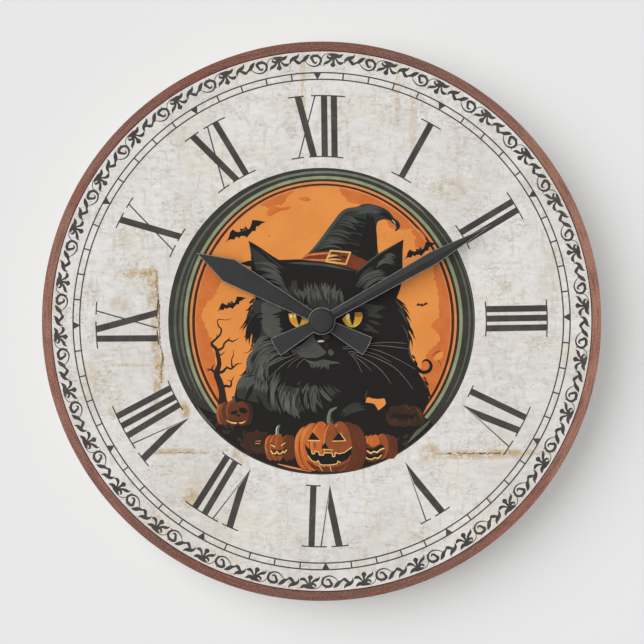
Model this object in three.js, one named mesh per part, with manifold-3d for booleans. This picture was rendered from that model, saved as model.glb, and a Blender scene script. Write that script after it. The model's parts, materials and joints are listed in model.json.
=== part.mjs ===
// A flat round wall clock with a printed face and a quartz movement, in millimetres.
//
// It is modelled lying on its back: +X to the right of the face, +Y towards twelve, and +Z from
// the wall to the viewer. The origin is on the centre arbor, in the plane of the wall. The
// exported group stands the clock up, so that twelve is at +Z and the face looks along -Y.
import * as THREE from "three";
import { mergeVertices } from "three/addons/utils/BufferGeometryUtils.js";
import Module from "manifold-3d";

const wasm = await Module();
wasm.setup();

// ---------------------------------------------------------------- driving dimensions

const FACE_RADIUS = 136.5;
const PANEL_THICKNESS = 3.2;
const PANEL_HOLE = 4.3;
const EDGE_BREAK = 0.4;

const GAP = 0.2; // between pieces that are assembled face to face
const PLAY = 0.2; // between a turning piece and what it turns in
const PRESS = 0.15; // between a piece and the tube that it is pushed onto

const CASE_SIDE = 56;
const CASE_DEPTH = 17.5;
const CASE_WALL = 1.2;
const CASE_CORNER = 3;
const COVER_THICKNESS = 1.2;
const BAY_PARTITION = -9.8; // upper face of the wall between the wheels and the cell

const CELL_RADIUS = 7.15;
const CELL_LENGTH = 49;
const CELL_NUB_RADIUS = 2.7;
const CELL_NUB_LENGTH = 1;

const EYE_RADIUS = 3.5; // hanging eye, above the case
const EYE_HEIGHT = 33.5;
const HANGER_HALF_WIDTH = 9;
const HANGER_THICKNESS = 2.2;

// How far each hand reaches, and how wide it is, seen from the front.
const HAND_THICKNESS = 0.8;
const HUB_RADIUS = 6.6;
const MINUTE_HAND = { tip: 95, shoulder: 62.5, widest: 6.7, neck: 4.5, tail: 26, tailEnd: 9.7 };
const HOUR_HAND = { tip: 69.3, shoulder: 51.5, widest: 12.1, neck: 4.2, tail: 25.8, tailEnd: 9.9 };
const MINUTE_HAND_ANGLE = 60.5; // degrees clockwise from twelve
const HOUR_HAND_ANGLE = 298.7;

// Tubes on the centre line, from the inside out.
const SECONDS_ARBOR = 0.5;
const CANNON_BORE = 0.8;
const CANNON_RADIUS = 1.6;
const HOUR_TUBE_BORE = 1.85;
const HOUR_TUBE_RADIUS = 2.5;
const BUSHING_BORE = 2.75;
const BUSHING_RADIUS = 3.95;
const NUT_ACROSS_FLATS = 11;

// Teeth of the wheels and leaves of the pinions. The rotor turns once in two seconds.
const TEETH = {
  rotorPinion: 6,
  fifthWheel: 45,
  fifthPinion: 8,
  secondsWheel: 32,
  secondsPinion: 6,
  thirdWheel: 45,
  thirdPinion: 6,
  centreWheel: 48,
  cannonPinion: 10,
  motionWheel: 30,
  motionPinion: 8,
  hourWheel: 32,
};

// Distances between arbors, and the direction of each arbor from the one that it meshes with.
const CENTRE_TO_FIFTH = 7.5;
const FIFTH_TO_ROTOR = 6.8;
const CENTRE_TO_THIRD = 7.2;
const CENTRE_TO_MOTION = 9.6;
const FIFTH_DIRECTION = 60;
const ROTOR_DIRECTION = 150;
const THIRD_DIRECTION = 200;
const MOTION_DIRECTION = 0;

const PIVOT_RADIUS = 0.5;
const MOTION_ARBOR = 0.85;
const KNOB_RADIUS = 4.2;
const KNOB_RIDGES = 18;
const MAGNET_RADIUS = 3;
const STATOR_BORE = 3.6;

const COIL = { x: -2, y: 21.8, z: 7.1, length: 24, flange: 3.7, winding: 3.2, barrel: 2.2 };
const CORE_HALF_LENGTH = 19;
const CORE_HALF_WIDTH = 1.5;

// Heights above the wall, from the back of the clock to its front.
const LEVEL = {
  cover: [0, COVER_THICKNESS],
  knob: [0.5, 2],
  bearing: [COVER_THICKNESS, 2.2],
  fifthWheel: [2.9, 3.6],
  rotorPinion: [2.6, 3.9],
  board: [3.2, 4],
  fifthPinion: [4.3, 6.1],
  secondsWheel: [4.9, 5.6],
  magnet: [4.8, 7.3],
  stator: [5.8, 6.5],
  core: [6.7, 7.5],
  secondsPinion: [6.9, 8.3],
  thirdWheel: [7.2, 7.9],
  thirdPinion: [9, 10.6],
  centreWheel: [9.4, 10.1],
  clutch: [10.3, 10.7],
  plate: [11, 11.8],
  cannonPinion: [12.1, 13.5],
  motionWheel: [12.4, 13.1],
  motionPinion: [14, 15.8],
  hourWheel: [14.5, 15.5],
  bushingFlange: [15.8, 16.1],
};
LEVEL.caseFront = [CASE_DEPTH - CASE_WALL, CASE_DEPTH];
LEVEL.rubber = above(LEVEL.caseFront, 0.8);
LEVEL.panel = above(LEVEL.rubber, PANEL_THICKNESS);
LEVEL.washer = above(LEVEL.panel, 0.5);
LEVEL.nut = above(LEVEL.washer, 2);
LEVEL.hourHand = [LEVEL.nut[1] + 0.9, LEVEL.nut[1] + 0.9 + HAND_THICKNESS];
LEVEL.minuteHand = [LEVEL.hourHand[1] + 1.6, LEVEL.hourHand[1] + 1.6 + HAND_THICKNESS];
LEVEL.cap = above(LEVEL.minuteHand, 2.4);

const PIVOT_START = COVER_THICKNESS + 0.3;
const PIVOT_END = LEVEL.plate[1] - 0.4;

function above(level, thickness) {
  return [level[1] + GAP, level[1] + GAP + thickness];
}

// ---------------------------------------------------------------- materials

function material(color, roughness, metalness = 0) {
  return new THREE.MeshStandardMaterial({ color, roughness, metalness });
}

const MATERIAL = {
  face: material(0xd4d0c9, 0.5),
  hands: material(0x3e3f41, 0.5, 0.6),
  caseplastic: material(0x1b1b1d, 0.5),
  wheels: material(0xe9e7df, 0.45),
  knob: material(0xd8d8d6, 0.5),
  brass: material(0xb8954a, 0.35, 1),
  steel: material(0xb4b6b8, 0.35, 1),
  rubber: material(0x1c1c1c, 0.9),
  copper: material(0xb5653a, 0.4, 0.9),
  magnet: material(0x3a3a3d, 0.6, 0.3),
  bobbin: material(0xdedac6, 0.5),
  board: material(0x6b4a26, 0.6),
  resin: material(0x121212, 0.4),
  cell: material(0x2b2d31, 0.35, 0.4),
};

// ---------------------------------------------------------------- solids

function solid(geometry) {
  const bare = geometry.clone();
  bare.deleteAttribute("normal");
  bare.deleteAttribute("uv");
  const merged = mergeVertices(bare, 1e-4);
  return new wasm.Manifold(
    new wasm.Mesh({
      numProp: 3,
      vertProperties: merged.attributes.position.array,
      triVerts: new Uint32Array(merged.index.array),
    }),
  );
}

function piece(name, body, look) {
  const { vertProperties, triVerts } = body.getMesh();
  const geometry = new THREE.BufferGeometry();
  geometry.setAttribute("position", new THREE.BufferAttribute(vertProperties, 3));
  geometry.setIndex(new THREE.BufferAttribute(triVerts, 1));
  geometry.computeVertexNormals();
  const mesh = new THREE.Mesh(geometry, look);
  mesh.name = name;
  return mesh;
}

const joined = (first, ...others) => others.reduce((whole, part) => whole.add(part), first);
const without = (first, ...others) => others.reduce((whole, part) => whole.subtract(part), first);

// A flat outline, thickened from the first to the second height of a level.
function prism(outline, [low, high], curveSegments = 12) {
  const geometry = new THREE.ExtrudeGeometry(outline, {
    depth: high - low,
    bevelEnabled: false,
    curveSegments,
  });
  return solid(geometry.translate(0, 0, low));
}

function circle(radius, [x, y] = [0, 0]) {
  return new THREE.Shape().absarc(x, y, radius, 0, 2 * Math.PI, false);
}

const polygon = (corners) => new THREE.Shape(corners.map(([x, y]) => new THREE.Vector2(x, y)));

const disc = (radius, level, at, curveSegments) => prism(circle(radius, at), level, curveSegments);

function ring(outer, inner, level, at, curveSegments) {
  const outline = circle(outer, at);
  outline.holes.push(circle(inner, at));
  return prism(outline, level, curveSegments);
}

function block([left, right], [bottom, top], level) {
  const corners = [
    [left, bottom],
    [right, bottom],
    [right, top],
    [left, top],
  ];
  return prism(polygon(corners), level);
}

function roundedBlock([left, right], [bottom, top], level, corner) {
  const outline = new THREE.Shape();
  outline.absarc(right - corner, bottom + corner, corner, -Math.PI / 2, 0, false);
  outline.absarc(right - corner, top - corner, corner, 0, Math.PI / 2, false);
  outline.absarc(left + corner, top - corner, corner, Math.PI / 2, Math.PI, false);
  outline.absarc(left + corner, bottom + corner, corner, Math.PI, 1.5 * Math.PI, false);
  return prism(outline, level, 5);
}

// A piece turned on a lathe about the Z axis, from [radius, height] pairs in anticlockwise order.
function turned(profile, segments) {
  const points = profile.map(([radius, height]) => new THREE.Vector2(radius, height));
  return solid(new THREE.LatheGeometry(points, segments).rotateX(Math.PI / 2));
}

function polar(distance, degrees, [x, y] = [0, 0]) {
  const angle = THREE.MathUtils.degToRad(degrees);
  return [x + distance * Math.cos(angle), y + distance * Math.sin(angle)];
}

// ---------------------------------------------------------------- gears

const CENTRE = [0, 0];
const FIFTH = polar(CENTRE_TO_FIFTH, FIFTH_DIRECTION);
const ROTOR = polar(FIFTH_TO_ROTOR, ROTOR_DIRECTION, FIFTH);
const THIRD = polar(CENTRE_TO_THIRD, THIRD_DIRECTION);
const MOTION = polar(CENTRE_TO_MOTION, MOTION_DIRECTION);

// Tooth proportions: heights in modules, widths as a share of the tooth pitch.
const ADDENDUM = 0.75;
const DEDENDUM = 1.15;
const TIP_WIDTH = 0.16;
const ROOT_WIDTH = 0.52;

// A toothed wheel with one tooth pointing in the given direction.
function gear(teeth, size, level, at, toothDirection) {
  const pitchRadius = (teeth * size) / 2;
  const tip = pitchRadius + ADDENDUM * size;
  const root = pitchRadius - DEDENDUM * size;
  const pitch = 360 / teeth;
  const corners = [];
  for (let tooth = 0; tooth < teeth; tooth++) {
    const middle = toothDirection + tooth * pitch;
    corners.push(polar(root, middle - (ROOT_WIDTH / 2) * pitch, at));
    corners.push(polar(tip, middle - (TIP_WIDTH / 2) * pitch, at));
    corners.push(polar(tip, middle + (TIP_WIDTH / 2) * pitch, at));
    corners.push(polar(root, middle + (ROOT_WIDTH / 2) * pitch, at));
  }
  return prism(polygon(corners), level);
}

// The two gears of a mesh: a tooth of the driver stands in a gap of the driven one.
function meshing(driver, driven, distance, driverAt, drivenAt, direction) {
  const size = (2 * distance) / (TEETH[driver] + TEETH[driven]);
  const facing = direction + 180 + 180 / TEETH[driven];
  return [
    gear(TEETH[driver], size, LEVEL[driver], driverAt, direction),
    gear(TEETH[driven], size, LEVEL[driven], drivenAt, facing),
  ];
}

const [rotorPinion, fifthWheel] = meshing(
  "rotorPinion",
  "fifthWheel",
  FIFTH_TO_ROTOR,
  ROTOR,
  FIFTH,
  ROTOR_DIRECTION + 180,
);
const [fifthPinion, secondsWheel] = meshing(
  "fifthPinion",
  "secondsWheel",
  CENTRE_TO_FIFTH,
  FIFTH,
  CENTRE,
  FIFTH_DIRECTION + 180,
);
const [secondsPinion, thirdWheel] = meshing(
  "secondsPinion",
  "thirdWheel",
  CENTRE_TO_THIRD,
  CENTRE,
  THIRD,
  THIRD_DIRECTION,
);
const [thirdPinion, centreWheel] = meshing(
  "thirdPinion",
  "centreWheel",
  CENTRE_TO_THIRD,
  THIRD,
  CENTRE,
  THIRD_DIRECTION + 180,
);
const [cannonPinion, motionWheel] = meshing(
  "cannonPinion",
  "motionWheel",
  CENTRE_TO_MOTION,
  CENTRE,
  MOTION,
  MOTION_DIRECTION,
);
const [motionPinion, hourWheel] = meshing(
  "motionPinion",
  "hourWheel",
  CENTRE_TO_MOTION,
  MOTION,
  CENTRE,
  MOTION_DIRECTION + 180,
);

const arbor = (radius, low, high, at) => disc(radius, [low, high], at, 6);

// ---------------------------------------------------------------- face and hands

function facePanel() {
  const [back, front] = LEVEL.panel;
  return turned(
    [
      [PANEL_HOLE, back],
      [FACE_RADIUS - EDGE_BREAK, back],
      [FACE_RADIUS, back + EDGE_BREAK],
      [FACE_RADIUS, front - EDGE_BREAK],
      [FACE_RADIUS - EDGE_BREAK, front],
      [PANEL_HOLE, front],
      [PANEL_HOLE, back],
    ],
    128,
  );
}

// A pointed hand with a flared tail, cut from sheet metal and bored for its tube.
function hand({ tip, shoulder, widest, neck, tail, tailEnd }, level, bore, clockwise) {
  const blade = polygon([
    [-neck / 2, 0],
    [neck / 2, 0],
    [widest / 2, shoulder],
    [0, tip],
    [-widest / 2, shoulder],
  ]);
  const spread = Math.asin(tailEnd / 2 / tail);
  const flare = new THREE.Shape();
  flare.moveTo(neck / 2, 0);
  flare.lineTo(-neck / 2, 0);
  flare.absarc(0, 0, tail, -Math.PI / 2 - spread, -Math.PI / 2 + spread, false);
  const hub = disc(HUB_RADIUS, level, CENTRE, 20);
  const flat = joined(prism(blade, level), prism(flare, level, 6), hub);
  const bored = without(flat, disc(bore, [level[0] - 1, level[1] + 1], CENTRE, 12));
  return bored.rotate([0, 0, -clockwise]);
}

// A round cap that closes the end of the minute tube.
function handCapNut() {
  const [base, top] = LEVEL.cap;
  const rim = 5.5;
  const side = base + 1;
  const socket = CANNON_RADIUS + PRESS;
  const socketEnd = base + 1;
  const dome = [];
  const steps = 5;
  for (let step = 0; step <= steps; step++) {
    const angle = (step / steps) * (Math.PI / 2);
    dome.push([rim * Math.cos(angle), side + (top - side) * Math.sin(angle)]);
  }
  return turned([[0, socketEnd], [socket, socketEnd], [socket, base], [rim, base], ...dome], 36);
}

// ---------------------------------------------------------------- clamp on the centre line

// A bushing with a collar behind the case wall. Its thread is a row of turned ridges.
function threadedBushing() {
  const [flangeBack, flangeFront] = LEVEL.bushingFlange;
  const end = LEVEL.nut[1] + 0.5;
  const threadPitch = 1.25;
  const threadDepth = 0.4;
  const threadStart = LEVEL.rubber[0];
  const outside = [
    [5, flangeBack],
    [5, flangeFront],
    [BUSHING_RADIUS, flangeFront],
  ];
  for (let height = threadStart; height + threadPitch <= end; height += threadPitch) {
    outside.push([BUSHING_RADIUS, height]);
    outside.push([BUSHING_RADIUS - threadDepth, height + threadPitch / 2]);
  }
  outside.push([BUSHING_RADIUS, end - 0.2]);
  outside.push([BUSHING_RADIUS - 0.2, end]);
  return turned(
    [[BUSHING_BORE, flangeBack], ...outside, [BUSHING_BORE, end], [BUSHING_BORE, flangeBack]],
    24,
  );
}

function hexNut() {
  const cornerRadius = NUT_ACROSS_FLATS / Math.sqrt(3);
  const outline = polygon([0, 60, 120, 180, 240, 300].map((angle) => polar(cornerRadius, angle)));
  outline.holes.push(circle(BUSHING_RADIUS + PRESS));
  return prism(outline, LEVEL.nut, 16);
}

// ---------------------------------------------------------------- movement case

const HALF_CASE = CASE_SIDE / 2;
const HALF_ROOM = HALF_CASE - CASE_WALL;
const CASE_BACK = COVER_THICKNESS + GAP;
const CELL_AT = { y: -18.9, z: 8.7, x: -24.8 };
const PLATE_POSTS = [
  [-23.5, -6.5],
  [-23.5, 23.5],
  [23.5, 23.5],
  [23.5, -7.5],
];
const CORE_SCREWS = [
  [COIL.x - CORE_HALF_LENGTH + 2, COIL.y],
  [COIL.x + CORE_HALF_LENGTH - 2, COIL.y],
];
const TRAIN_PIVOTS = [ROTOR, FIFTH, THIRD];
const POST_RADIUS = 1.4;
const PIN_RADIUS = 0.7;

// A square tub, open at the back, with one room for the wheels and one for the cell.
function frontCase() {
  const [wallBack] = LEVEL.caseFront;
  const room = [CASE_BACK - 1, wallBack];
  const partitionLow = BAY_PARTITION - CASE_WALL;
  const span = [-HALF_ROOM, HALF_ROOM];
  const shell = without(
    roundedBlock(
      [-HALF_CASE, HALF_CASE],
      [-HALF_CASE, HALF_CASE],
      [CASE_BACK, CASE_DEPTH],
      CASE_CORNER,
    ),
    block(span, [BAY_PARTITION, HALF_ROOM], room),
    block(span, [-HALF_ROOM, partitionLow], room),
  );
  const posts = PLATE_POSTS.map((at) =>
    joined(
      disc(POST_RADIUS, [LEVEL.plate[1] + GAP, wallBack + 0.1], at, 6),
      disc(PIN_RADIUS, [LEVEL.plate[0] - 0.3, LEVEL.plate[1] + GAP + 0.1], at, 6),
    ),
  );
  const slots = [-1, 1].map((side) =>
    block(
      side < 0 ? [-HALF_ROOM, -HALF_ROOM + 1] : [HALF_ROOM - 2, HALF_ROOM],
      [partitionLow - 1, BAY_PARTITION + 1],
      [CASE_BACK - 1, 6],
    ),
  );
  return without(
    joined(shell, ...posts),
    ...slots,
    disc(BUSHING_RADIUS + PRESS, [wallBack - 1, CASE_DEPTH + 1], CENTRE, 16),
    disc(PIVOT_RADIUS + PLAY, [wallBack - 1, wallBack + 0.6], MOTION, 6),
  );
}

// The cover over the wheels. It carries the back bearings and the hanging eye.
function backCover() {
  const plate = roundedBlock(
    [-HALF_CASE, HALF_CASE],
    [BAY_PARTITION - CASE_WALL, HALF_CASE],
    LEVEL.cover,
    CASE_CORNER,
  );
  const tongueTop = EYE_HEIGHT;
  const tongue = joined(
    block([-HANGER_HALF_WIDTH, HANGER_HALF_WIDTH], [HALF_CASE - 4, tongueTop], LEVEL.cover),
    block(
      [-HANGER_HALF_WIDTH, HANGER_HALF_WIDTH],
      [HALF_CASE + GAP, tongueTop],
      [0, HANGER_THICKNESS],
    ),
    disc(HANGER_HALF_WIDTH, [0, HANGER_THICKNESS], [0, tongueTop], 14).intersect(
      block([-20, 20], [tongueTop - 1, tongueTop + 20], [-1, 5]),
    ),
  );
  const eye = joined(
    disc(EYE_RADIUS, [-1, 5], [0, EYE_HEIGHT], 10),
    disc(EYE_RADIUS / 2, [-1, 5], [0, EYE_HEIGHT + EYE_RADIUS], 8),
  );
  const bearings = [CENTRE, ...TRAIN_PIVOTS].map((at) => disc(1.6, [0.6, LEVEL.bearing[1]], at, 8));
  const sockets = TRAIN_PIVOTS.map((at) => disc(PIVOT_RADIUS + PLAY, [COVER_THICKNESS, 3], at, 6));
  const posts = PLATE_POSTS.map((at) => disc(POST_RADIUS, [0.6, LEVEL.plate[0] - GAP], at, 6));
  const pinHoles = PLATE_POSTS.map((at) => disc(PIN_RADIUS + GAP, [LEVEL.plate[0] - 1, 12], at, 6));
  const screwPosts = CORE_SCREWS.map((at) => disc(1.8, [0.6, LEVEL.stator[0] - GAP], at, 8));
  const screwHoles = CORE_SCREWS.map((at) => disc(PIN_RADIUS + GAP, [3.6, 6], at, 6));
  const boardStuds = [
    [16.5, 10.5],
    [21, -2],
  ].map((at) => disc(1.2, [0.6, LEVEL.board[0] - GAP], at, 6));
  return without(
    joined(plate, tongue, ...bearings, ...posts, ...screwPosts, ...boardStuds),
    eye,
    disc(SECONDS_ARBOR + PLAY, [COVER_THICKNESS, 3], CENTRE, 6),
    disc(KNOB_RADIUS + 0.4, [-1, 3], MOTION, 16),
    ...sockets,
    ...pinHoles,
    ...screwHoles,
  );
}

// The plate between the going train and the motion work. It carries the front bearings.
function trainPlate() {
  const edge = HALF_ROOM - 0.6;
  const plate = roundedBlock([-edge, edge], [BAY_PARTITION + 0.6, edge], LEVEL.plate, 1);
  const through = [LEVEL.plate[0] - 1, LEVEL.plate[1] + 1];
  return without(
    plate,
    disc(CANNON_RADIUS + PLAY, through, CENTRE, 10),
    disc(MOTION_ARBOR + PLAY, through, MOTION, 8),
    ...TRAIN_PIVOTS.map((at) => disc(PIVOT_RADIUS + PLAY, through, at, 6)),
    ...PLATE_POSTS.map((at) => disc(PIN_RADIUS + GAP, through, at, 6)),
  );
}

// ---------------------------------------------------------------- setting knob

// A ridged thumb knob, let into the cover, on the back end of the motion wheel's arbor.
function settingKnob() {
  const rim = [];
  for (let half = 0; half < 2 * KNOB_RIDGES; half++) {
    const radius = half % 2 ? KNOB_RADIUS - 0.4 : KNOB_RADIUS;
    rim.push(polar(radius, (half * 180) / KNOB_RIDGES, MOTION));
  }
  return without(
    joined(prism(polygon(rim), LEVEL.knob), disc(2, [LEVEL.knob[1] - 0.1, 4], MOTION, 8)),
    disc(MOTION_ARBOR + PRESS, [2.5, 5], MOTION, 6),
    block([MOTION[0] - 3, MOTION[0] + 3], [MOTION[1] - 0.5, MOTION[1] + 0.5], [0, 1]),
  );
}

// ---------------------------------------------------------------- stepping motor

function rotorPinionAndArbor() {
  return joined(rotorPinion, arbor(PIVOT_RADIUS, PIVOT_START, PIVOT_END, ROTOR));
}

// Two pole pieces in one plate, bored for the rotor, with a leg to each end of the coil core.
function statorPlate() {
  const left = COIL.x - CORE_HALF_LENGTH;
  const right = COIL.x + CORE_HALF_LENGTH;
  const [, rotorY] = ROTOR;
  const barHalf = 3;
  const legWidth = 4.5;
  const top = COIL.y + CORE_HALF_WIDTH;
  const body = joined(
    block([left, right], [rotorY - barHalf, rotorY + barHalf], LEVEL.stator),
    block([left, left + legWidth], [rotorY - barHalf, top], LEVEL.stator),
    block([right - legWidth, right], [rotorY - barHalf, top], LEVEL.stator),
    disc(STATOR_BORE + 1, LEVEL.stator, ROTOR, 16),
  );
  const through = [LEVEL.stator[0] - 1, LEVEL.stator[1] + 1];
  return without(
    body,
    disc(STATOR_BORE, through, ROTOR, 16),
    disc(2.2, through, FIFTH, 12),
    ...CORE_SCREWS.map((at) => disc(PIN_RADIUS + GAP, through, at, 6)),
  );
}

function coilCore() {
  const span = [COIL.x - CORE_HALF_LENGTH, COIL.x + CORE_HALF_LENGTH];
  const bar = block(span, [COIL.y - CORE_HALF_WIDTH, COIL.y + CORE_HALF_WIDTH], LEVEL.core);
  const through = [LEVEL.core[0] - 1, LEVEL.core[1] + 1];
  return without(bar, ...CORE_SCREWS.map((at) => disc(PIN_RADIUS + GAP, through, at, 6)));
}

// Turned about its own axis, then laid along X at the coil's place.
function alongCoil(body) {
  return body.rotate([0, 90, 0]).translate([COIL.x, COIL.y, COIL.z]);
}

function coilBobbin() {
  const half = COIL.length / 2;
  const cheek = 0.8;
  const spool = alongCoil(
    turned(
      [
        [0, -half],
        [COIL.flange, -half],
        [COIL.flange, -half + cheek],
        [COIL.barrel, -half + cheek],
        [COIL.barrel, half - cheek],
        [COIL.flange, half - cheek],
        [COIL.flange, half],
        [0, half],
      ],
      24,
    ),
  );
  const [coreBack, coreFront] = LEVEL.core;
  return without(
    spool,
    block(
      [COIL.x - CORE_HALF_LENGTH, COIL.x + CORE_HALF_LENGTH],
      [COIL.y - CORE_HALF_WIDTH - GAP, COIL.y + CORE_HALF_WIDTH + GAP],
      [coreBack - GAP, coreFront + GAP],
    ),
  );
}

function coilWinding() {
  const half = COIL.length / 2 - 0.8 - GAP;
  return alongCoil(ring(COIL.winding, COIL.barrel + GAP, [-half, half], CENTRE, 12));
}

function coreScrew(at) {
  const [, coreFront] = LEVEL.core;
  const head = [coreFront + GAP, coreFront + GAP + 0.8];
  return without(
    joined(disc(1.5, head, at, 8), disc(PIN_RADIUS, [4, head[0] + 0.1], at, 6)),
    block([at[0] - 2, at[0] + 2], [at[1] - 0.25, at[1] + 0.25], [head[1] - 0.35, head[1] + 1]),
  );
}

// ---------------------------------------------------------------- cell and circuit

function batteryCell() {
  const shoulder = 0.6;
  const profile = [
    [0, 0],
    [CELL_RADIUS - shoulder, 0],
    [CELL_RADIUS, shoulder],
    [CELL_RADIUS, CELL_LENGTH - shoulder],
    [CELL_RADIUS - shoulder, CELL_LENGTH],
    [CELL_NUB_RADIUS, CELL_LENGTH],
    [CELL_NUB_RADIUS, CELL_LENGTH + CELL_NUB_LENGTH],
    [0, CELL_LENGTH + CELL_NUB_LENGTH],
  ];
  return turned(profile, 32).rotate([0, 90, 0]).translate([CELL_AT.x, CELL_AT.y, CELL_AT.z]);
}

const STRIP = 0.3; // thickness of the contact metal
const BOARD = { x: [14.5, 25.2], y: [-4.5, 13] };
const CONTACT_ON_BOARD = [LEVEL.board[1] + GAP, LEVEL.board[1] + GAP + STRIP];

// A flat spring at the nub, with a leg that runs up beside the circuit board.
function positiveContact() {
  const outer = HALF_ROOM - 0.7;
  const across = [outer - STRIP, outer];
  return joined(
    block(across, [CELL_AT.y - 4.5, CELL_AT.y + 4.5], [4, 13]),
    block(across, [CELL_AT.y, BOARD.y[0] + 2], [3.4, 5]),
    block([outer - 2.5, outer], [BOARD.y[0] + 0.5, BOARD.y[0] + 2], CONTACT_ON_BOARD),
  );
}

// A bowed leaf at the flat end, with a strip along the partition to the circuit board.
function negativeContact() {
  const outer = -HALF_ROOM + 0.2;
  const halfHeight = 4.75;
  const sag = 1.2;
  const bow = (halfHeight ** 2 + sag ** 2) / (2 * sag);
  const bowCentre = outer + STRIP + sag - bow;
  const spread = Math.asin(halfHeight / bow);
  const leaf = new THREE.Shape();
  leaf.absarc(bowCentre, CELL_AT.y, bow, -spread, spread, false);
  leaf.absarc(bowCentre, CELL_AT.y, bow - STRIP, spread, -spread, true);
  const run = [BAY_PARTITION + GAP, BAY_PARTITION + GAP + STRIP];
  return joined(
    prism(leaf, [4.5, 12.5], 8),
    block([outer, outer + STRIP], [CELL_AT.y + halfHeight - 0.6, run[1]], [3, 5.6]),
    block([outer, BOARD.x[0] + 2], run, [3, 4.6]),
    block([BOARD.x[0] + 0.5, BOARD.x[0] + 2], [run[0], BOARD.y[0] + 1], CONTACT_ON_BOARD),
  );
}

function circuitBoard() {
  return block(BOARD.x, BOARD.y, LEVEL.board);
}

function timingChip() {
  const base = LEVEL.board[1] + GAP;
  const dome = [[0, base]];
  const steps = 4;
  for (let step = 0; step <= steps; step++) {
    const angle = (step / steps) * (Math.PI / 2);
    dome.push([2.2 * Math.cos(angle), base + 1.1 * Math.sin(angle)]);
  }
  return turned(dome, 20).translate([19.8, 8.5, 0]);
}

function quartzCrystal() {
  const can = disc(1, [-3, 3], CENTRE, 8).rotate([90, 0, 0]);
  return can.translate([20, 1.6, LEVEL.board[1] + GAP + 1]);
}

// ---------------------------------------------------------------- assembly

const secondsArbor = arbor(SECONDS_ARBOR, PIVOT_START, LEVEL.cap[0], CENTRE);
const cannonLevel = [LEVEL.clutch[1] + GAP, LEVEL.cap[0] + 0.6];
const cannonTube = ring(CANNON_RADIUS, CANNON_BORE, cannonLevel, CENTRE, 10);
const hourLevel = [LEVEL.hourWheel[0], LEVEL.hourHand[1] + 0.6];
const hourTube = ring(HOUR_TUBE_RADIUS, HOUR_TUBE_BORE, hourLevel, CENTRE, 12);
const centreBore = (radius) => disc(radius, [0, LEVEL.cap[1]], CENTRE, 10);

const clock = new THREE.Group();
clock.add(
  piece("face_panel", facePanel(), MATERIAL.face),
  piece(
    "minute_hand",
    hand(MINUTE_HAND, LEVEL.minuteHand, CANNON_RADIUS + PRESS, MINUTE_HAND_ANGLE),
    MATERIAL.hands,
  ),
  piece(
    "hour_hand",
    hand(HOUR_HAND, LEVEL.hourHand, HOUR_TUBE_RADIUS + PRESS, HOUR_HAND_ANGLE),
    MATERIAL.hands,
  ),
  piece("hand_cap_nut", handCapNut(), MATERIAL.hands),
  piece("rubber_washer", ring(11, PANEL_HOLE, LEVEL.rubber, CENTRE, 20), MATERIAL.rubber),
  piece("brass_washer", ring(6.2, PANEL_HOLE, LEVEL.washer, CENTRE, 16), MATERIAL.brass),
  piece("hex_nut", hexNut(), MATERIAL.brass),
  piece("threaded_bushing", threadedBushing(), MATERIAL.brass),
  piece("movement_front_case", frontCase(), MATERIAL.caseplastic),
  piece("movement_back_cover", backCover(), MATERIAL.caseplastic),
  piece("train_plate", trainPlate(), MATERIAL.caseplastic),
  piece("setting_knob", settingKnob(), MATERIAL.knob),
  piece("battery_cell", batteryCell(), MATERIAL.cell),
  piece("battery_positive_contact", positiveContact(), MATERIAL.steel),
  piece("battery_negative_contact", negativeContact(), MATERIAL.steel),
  piece("circuit_board", circuitBoard(), MATERIAL.board),
  piece("timing_chip", timingChip(), MATERIAL.resin),
  piece("quartz_crystal", quartzCrystal(), MATERIAL.steel),
  piece("coil_bobbin", coilBobbin(), MATERIAL.bobbin),
  piece("coil_winding", coilWinding(), MATERIAL.copper),
  piece("coil_core", coilCore(), MATERIAL.steel),
  piece("core_screw_left", coreScrew(CORE_SCREWS[0]), MATERIAL.steel),
  piece("core_screw_right", coreScrew(CORE_SCREWS[1]), MATERIAL.steel),
  piece("stator_plate", statorPlate(), MATERIAL.steel),
  piece("rotor_pinion", rotorPinionAndArbor(), MATERIAL.wheels),
  piece(
    "rotor_magnet",
    ring(MAGNET_RADIUS, PIVOT_RADIUS + GAP, LEVEL.magnet, ROTOR, 12),
    MATERIAL.magnet,
  ),
  piece(
    "fifth_wheel",
    joined(fifthWheel, fifthPinion, arbor(PIVOT_RADIUS, PIVOT_START, PIVOT_END, FIFTH)),
    MATERIAL.wheels,
  ),
  piece("seconds_wheel", joined(secondsWheel, secondsPinion, secondsArbor), MATERIAL.wheels),
  piece(
    "third_wheel",
    joined(thirdWheel, thirdPinion, arbor(PIVOT_RADIUS, PIVOT_START, PIVOT_END, THIRD)),
    MATERIAL.wheels,
  ),
  piece("centre_wheel", without(centreWheel, centreBore(SECONDS_ARBOR + PLAY)), MATERIAL.wheels),
  piece("clutch_spring", ring(3, CANNON_BORE, LEVEL.clutch, CENTRE, 12), MATERIAL.steel),
  piece(
    "cannon_pinion",
    joined(without(cannonPinion, centreBore(CANNON_BORE + 0.3)), cannonTube),
    MATERIAL.brass,
  ),
  piece(
    "motion_wheel",
    joined(
      motionWheel,
      motionPinion,
      arbor(MOTION_ARBOR, 2.8, LEVEL.motionPinion[1], MOTION),
      arbor(PIVOT_RADIUS, LEVEL.motionPinion[1] - 0.1, LEVEL.caseFront[0] + 0.4, MOTION),
    ),
    MATERIAL.wheels,
  ),
  piece(
    "hour_wheel",
    joined(without(hourWheel, centreBore(HOUR_TUBE_BORE + 0.3)), hourTube),
    MATERIAL.wheels,
  ),
);
clock.rotation.x = Math.PI / 2;

export default clock;
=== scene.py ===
import json
import math
import random

import bmesh
import bpy
from mathutils import Matrix, Vector
from mathutils.geometry import delaunay_2d_cdt


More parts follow.
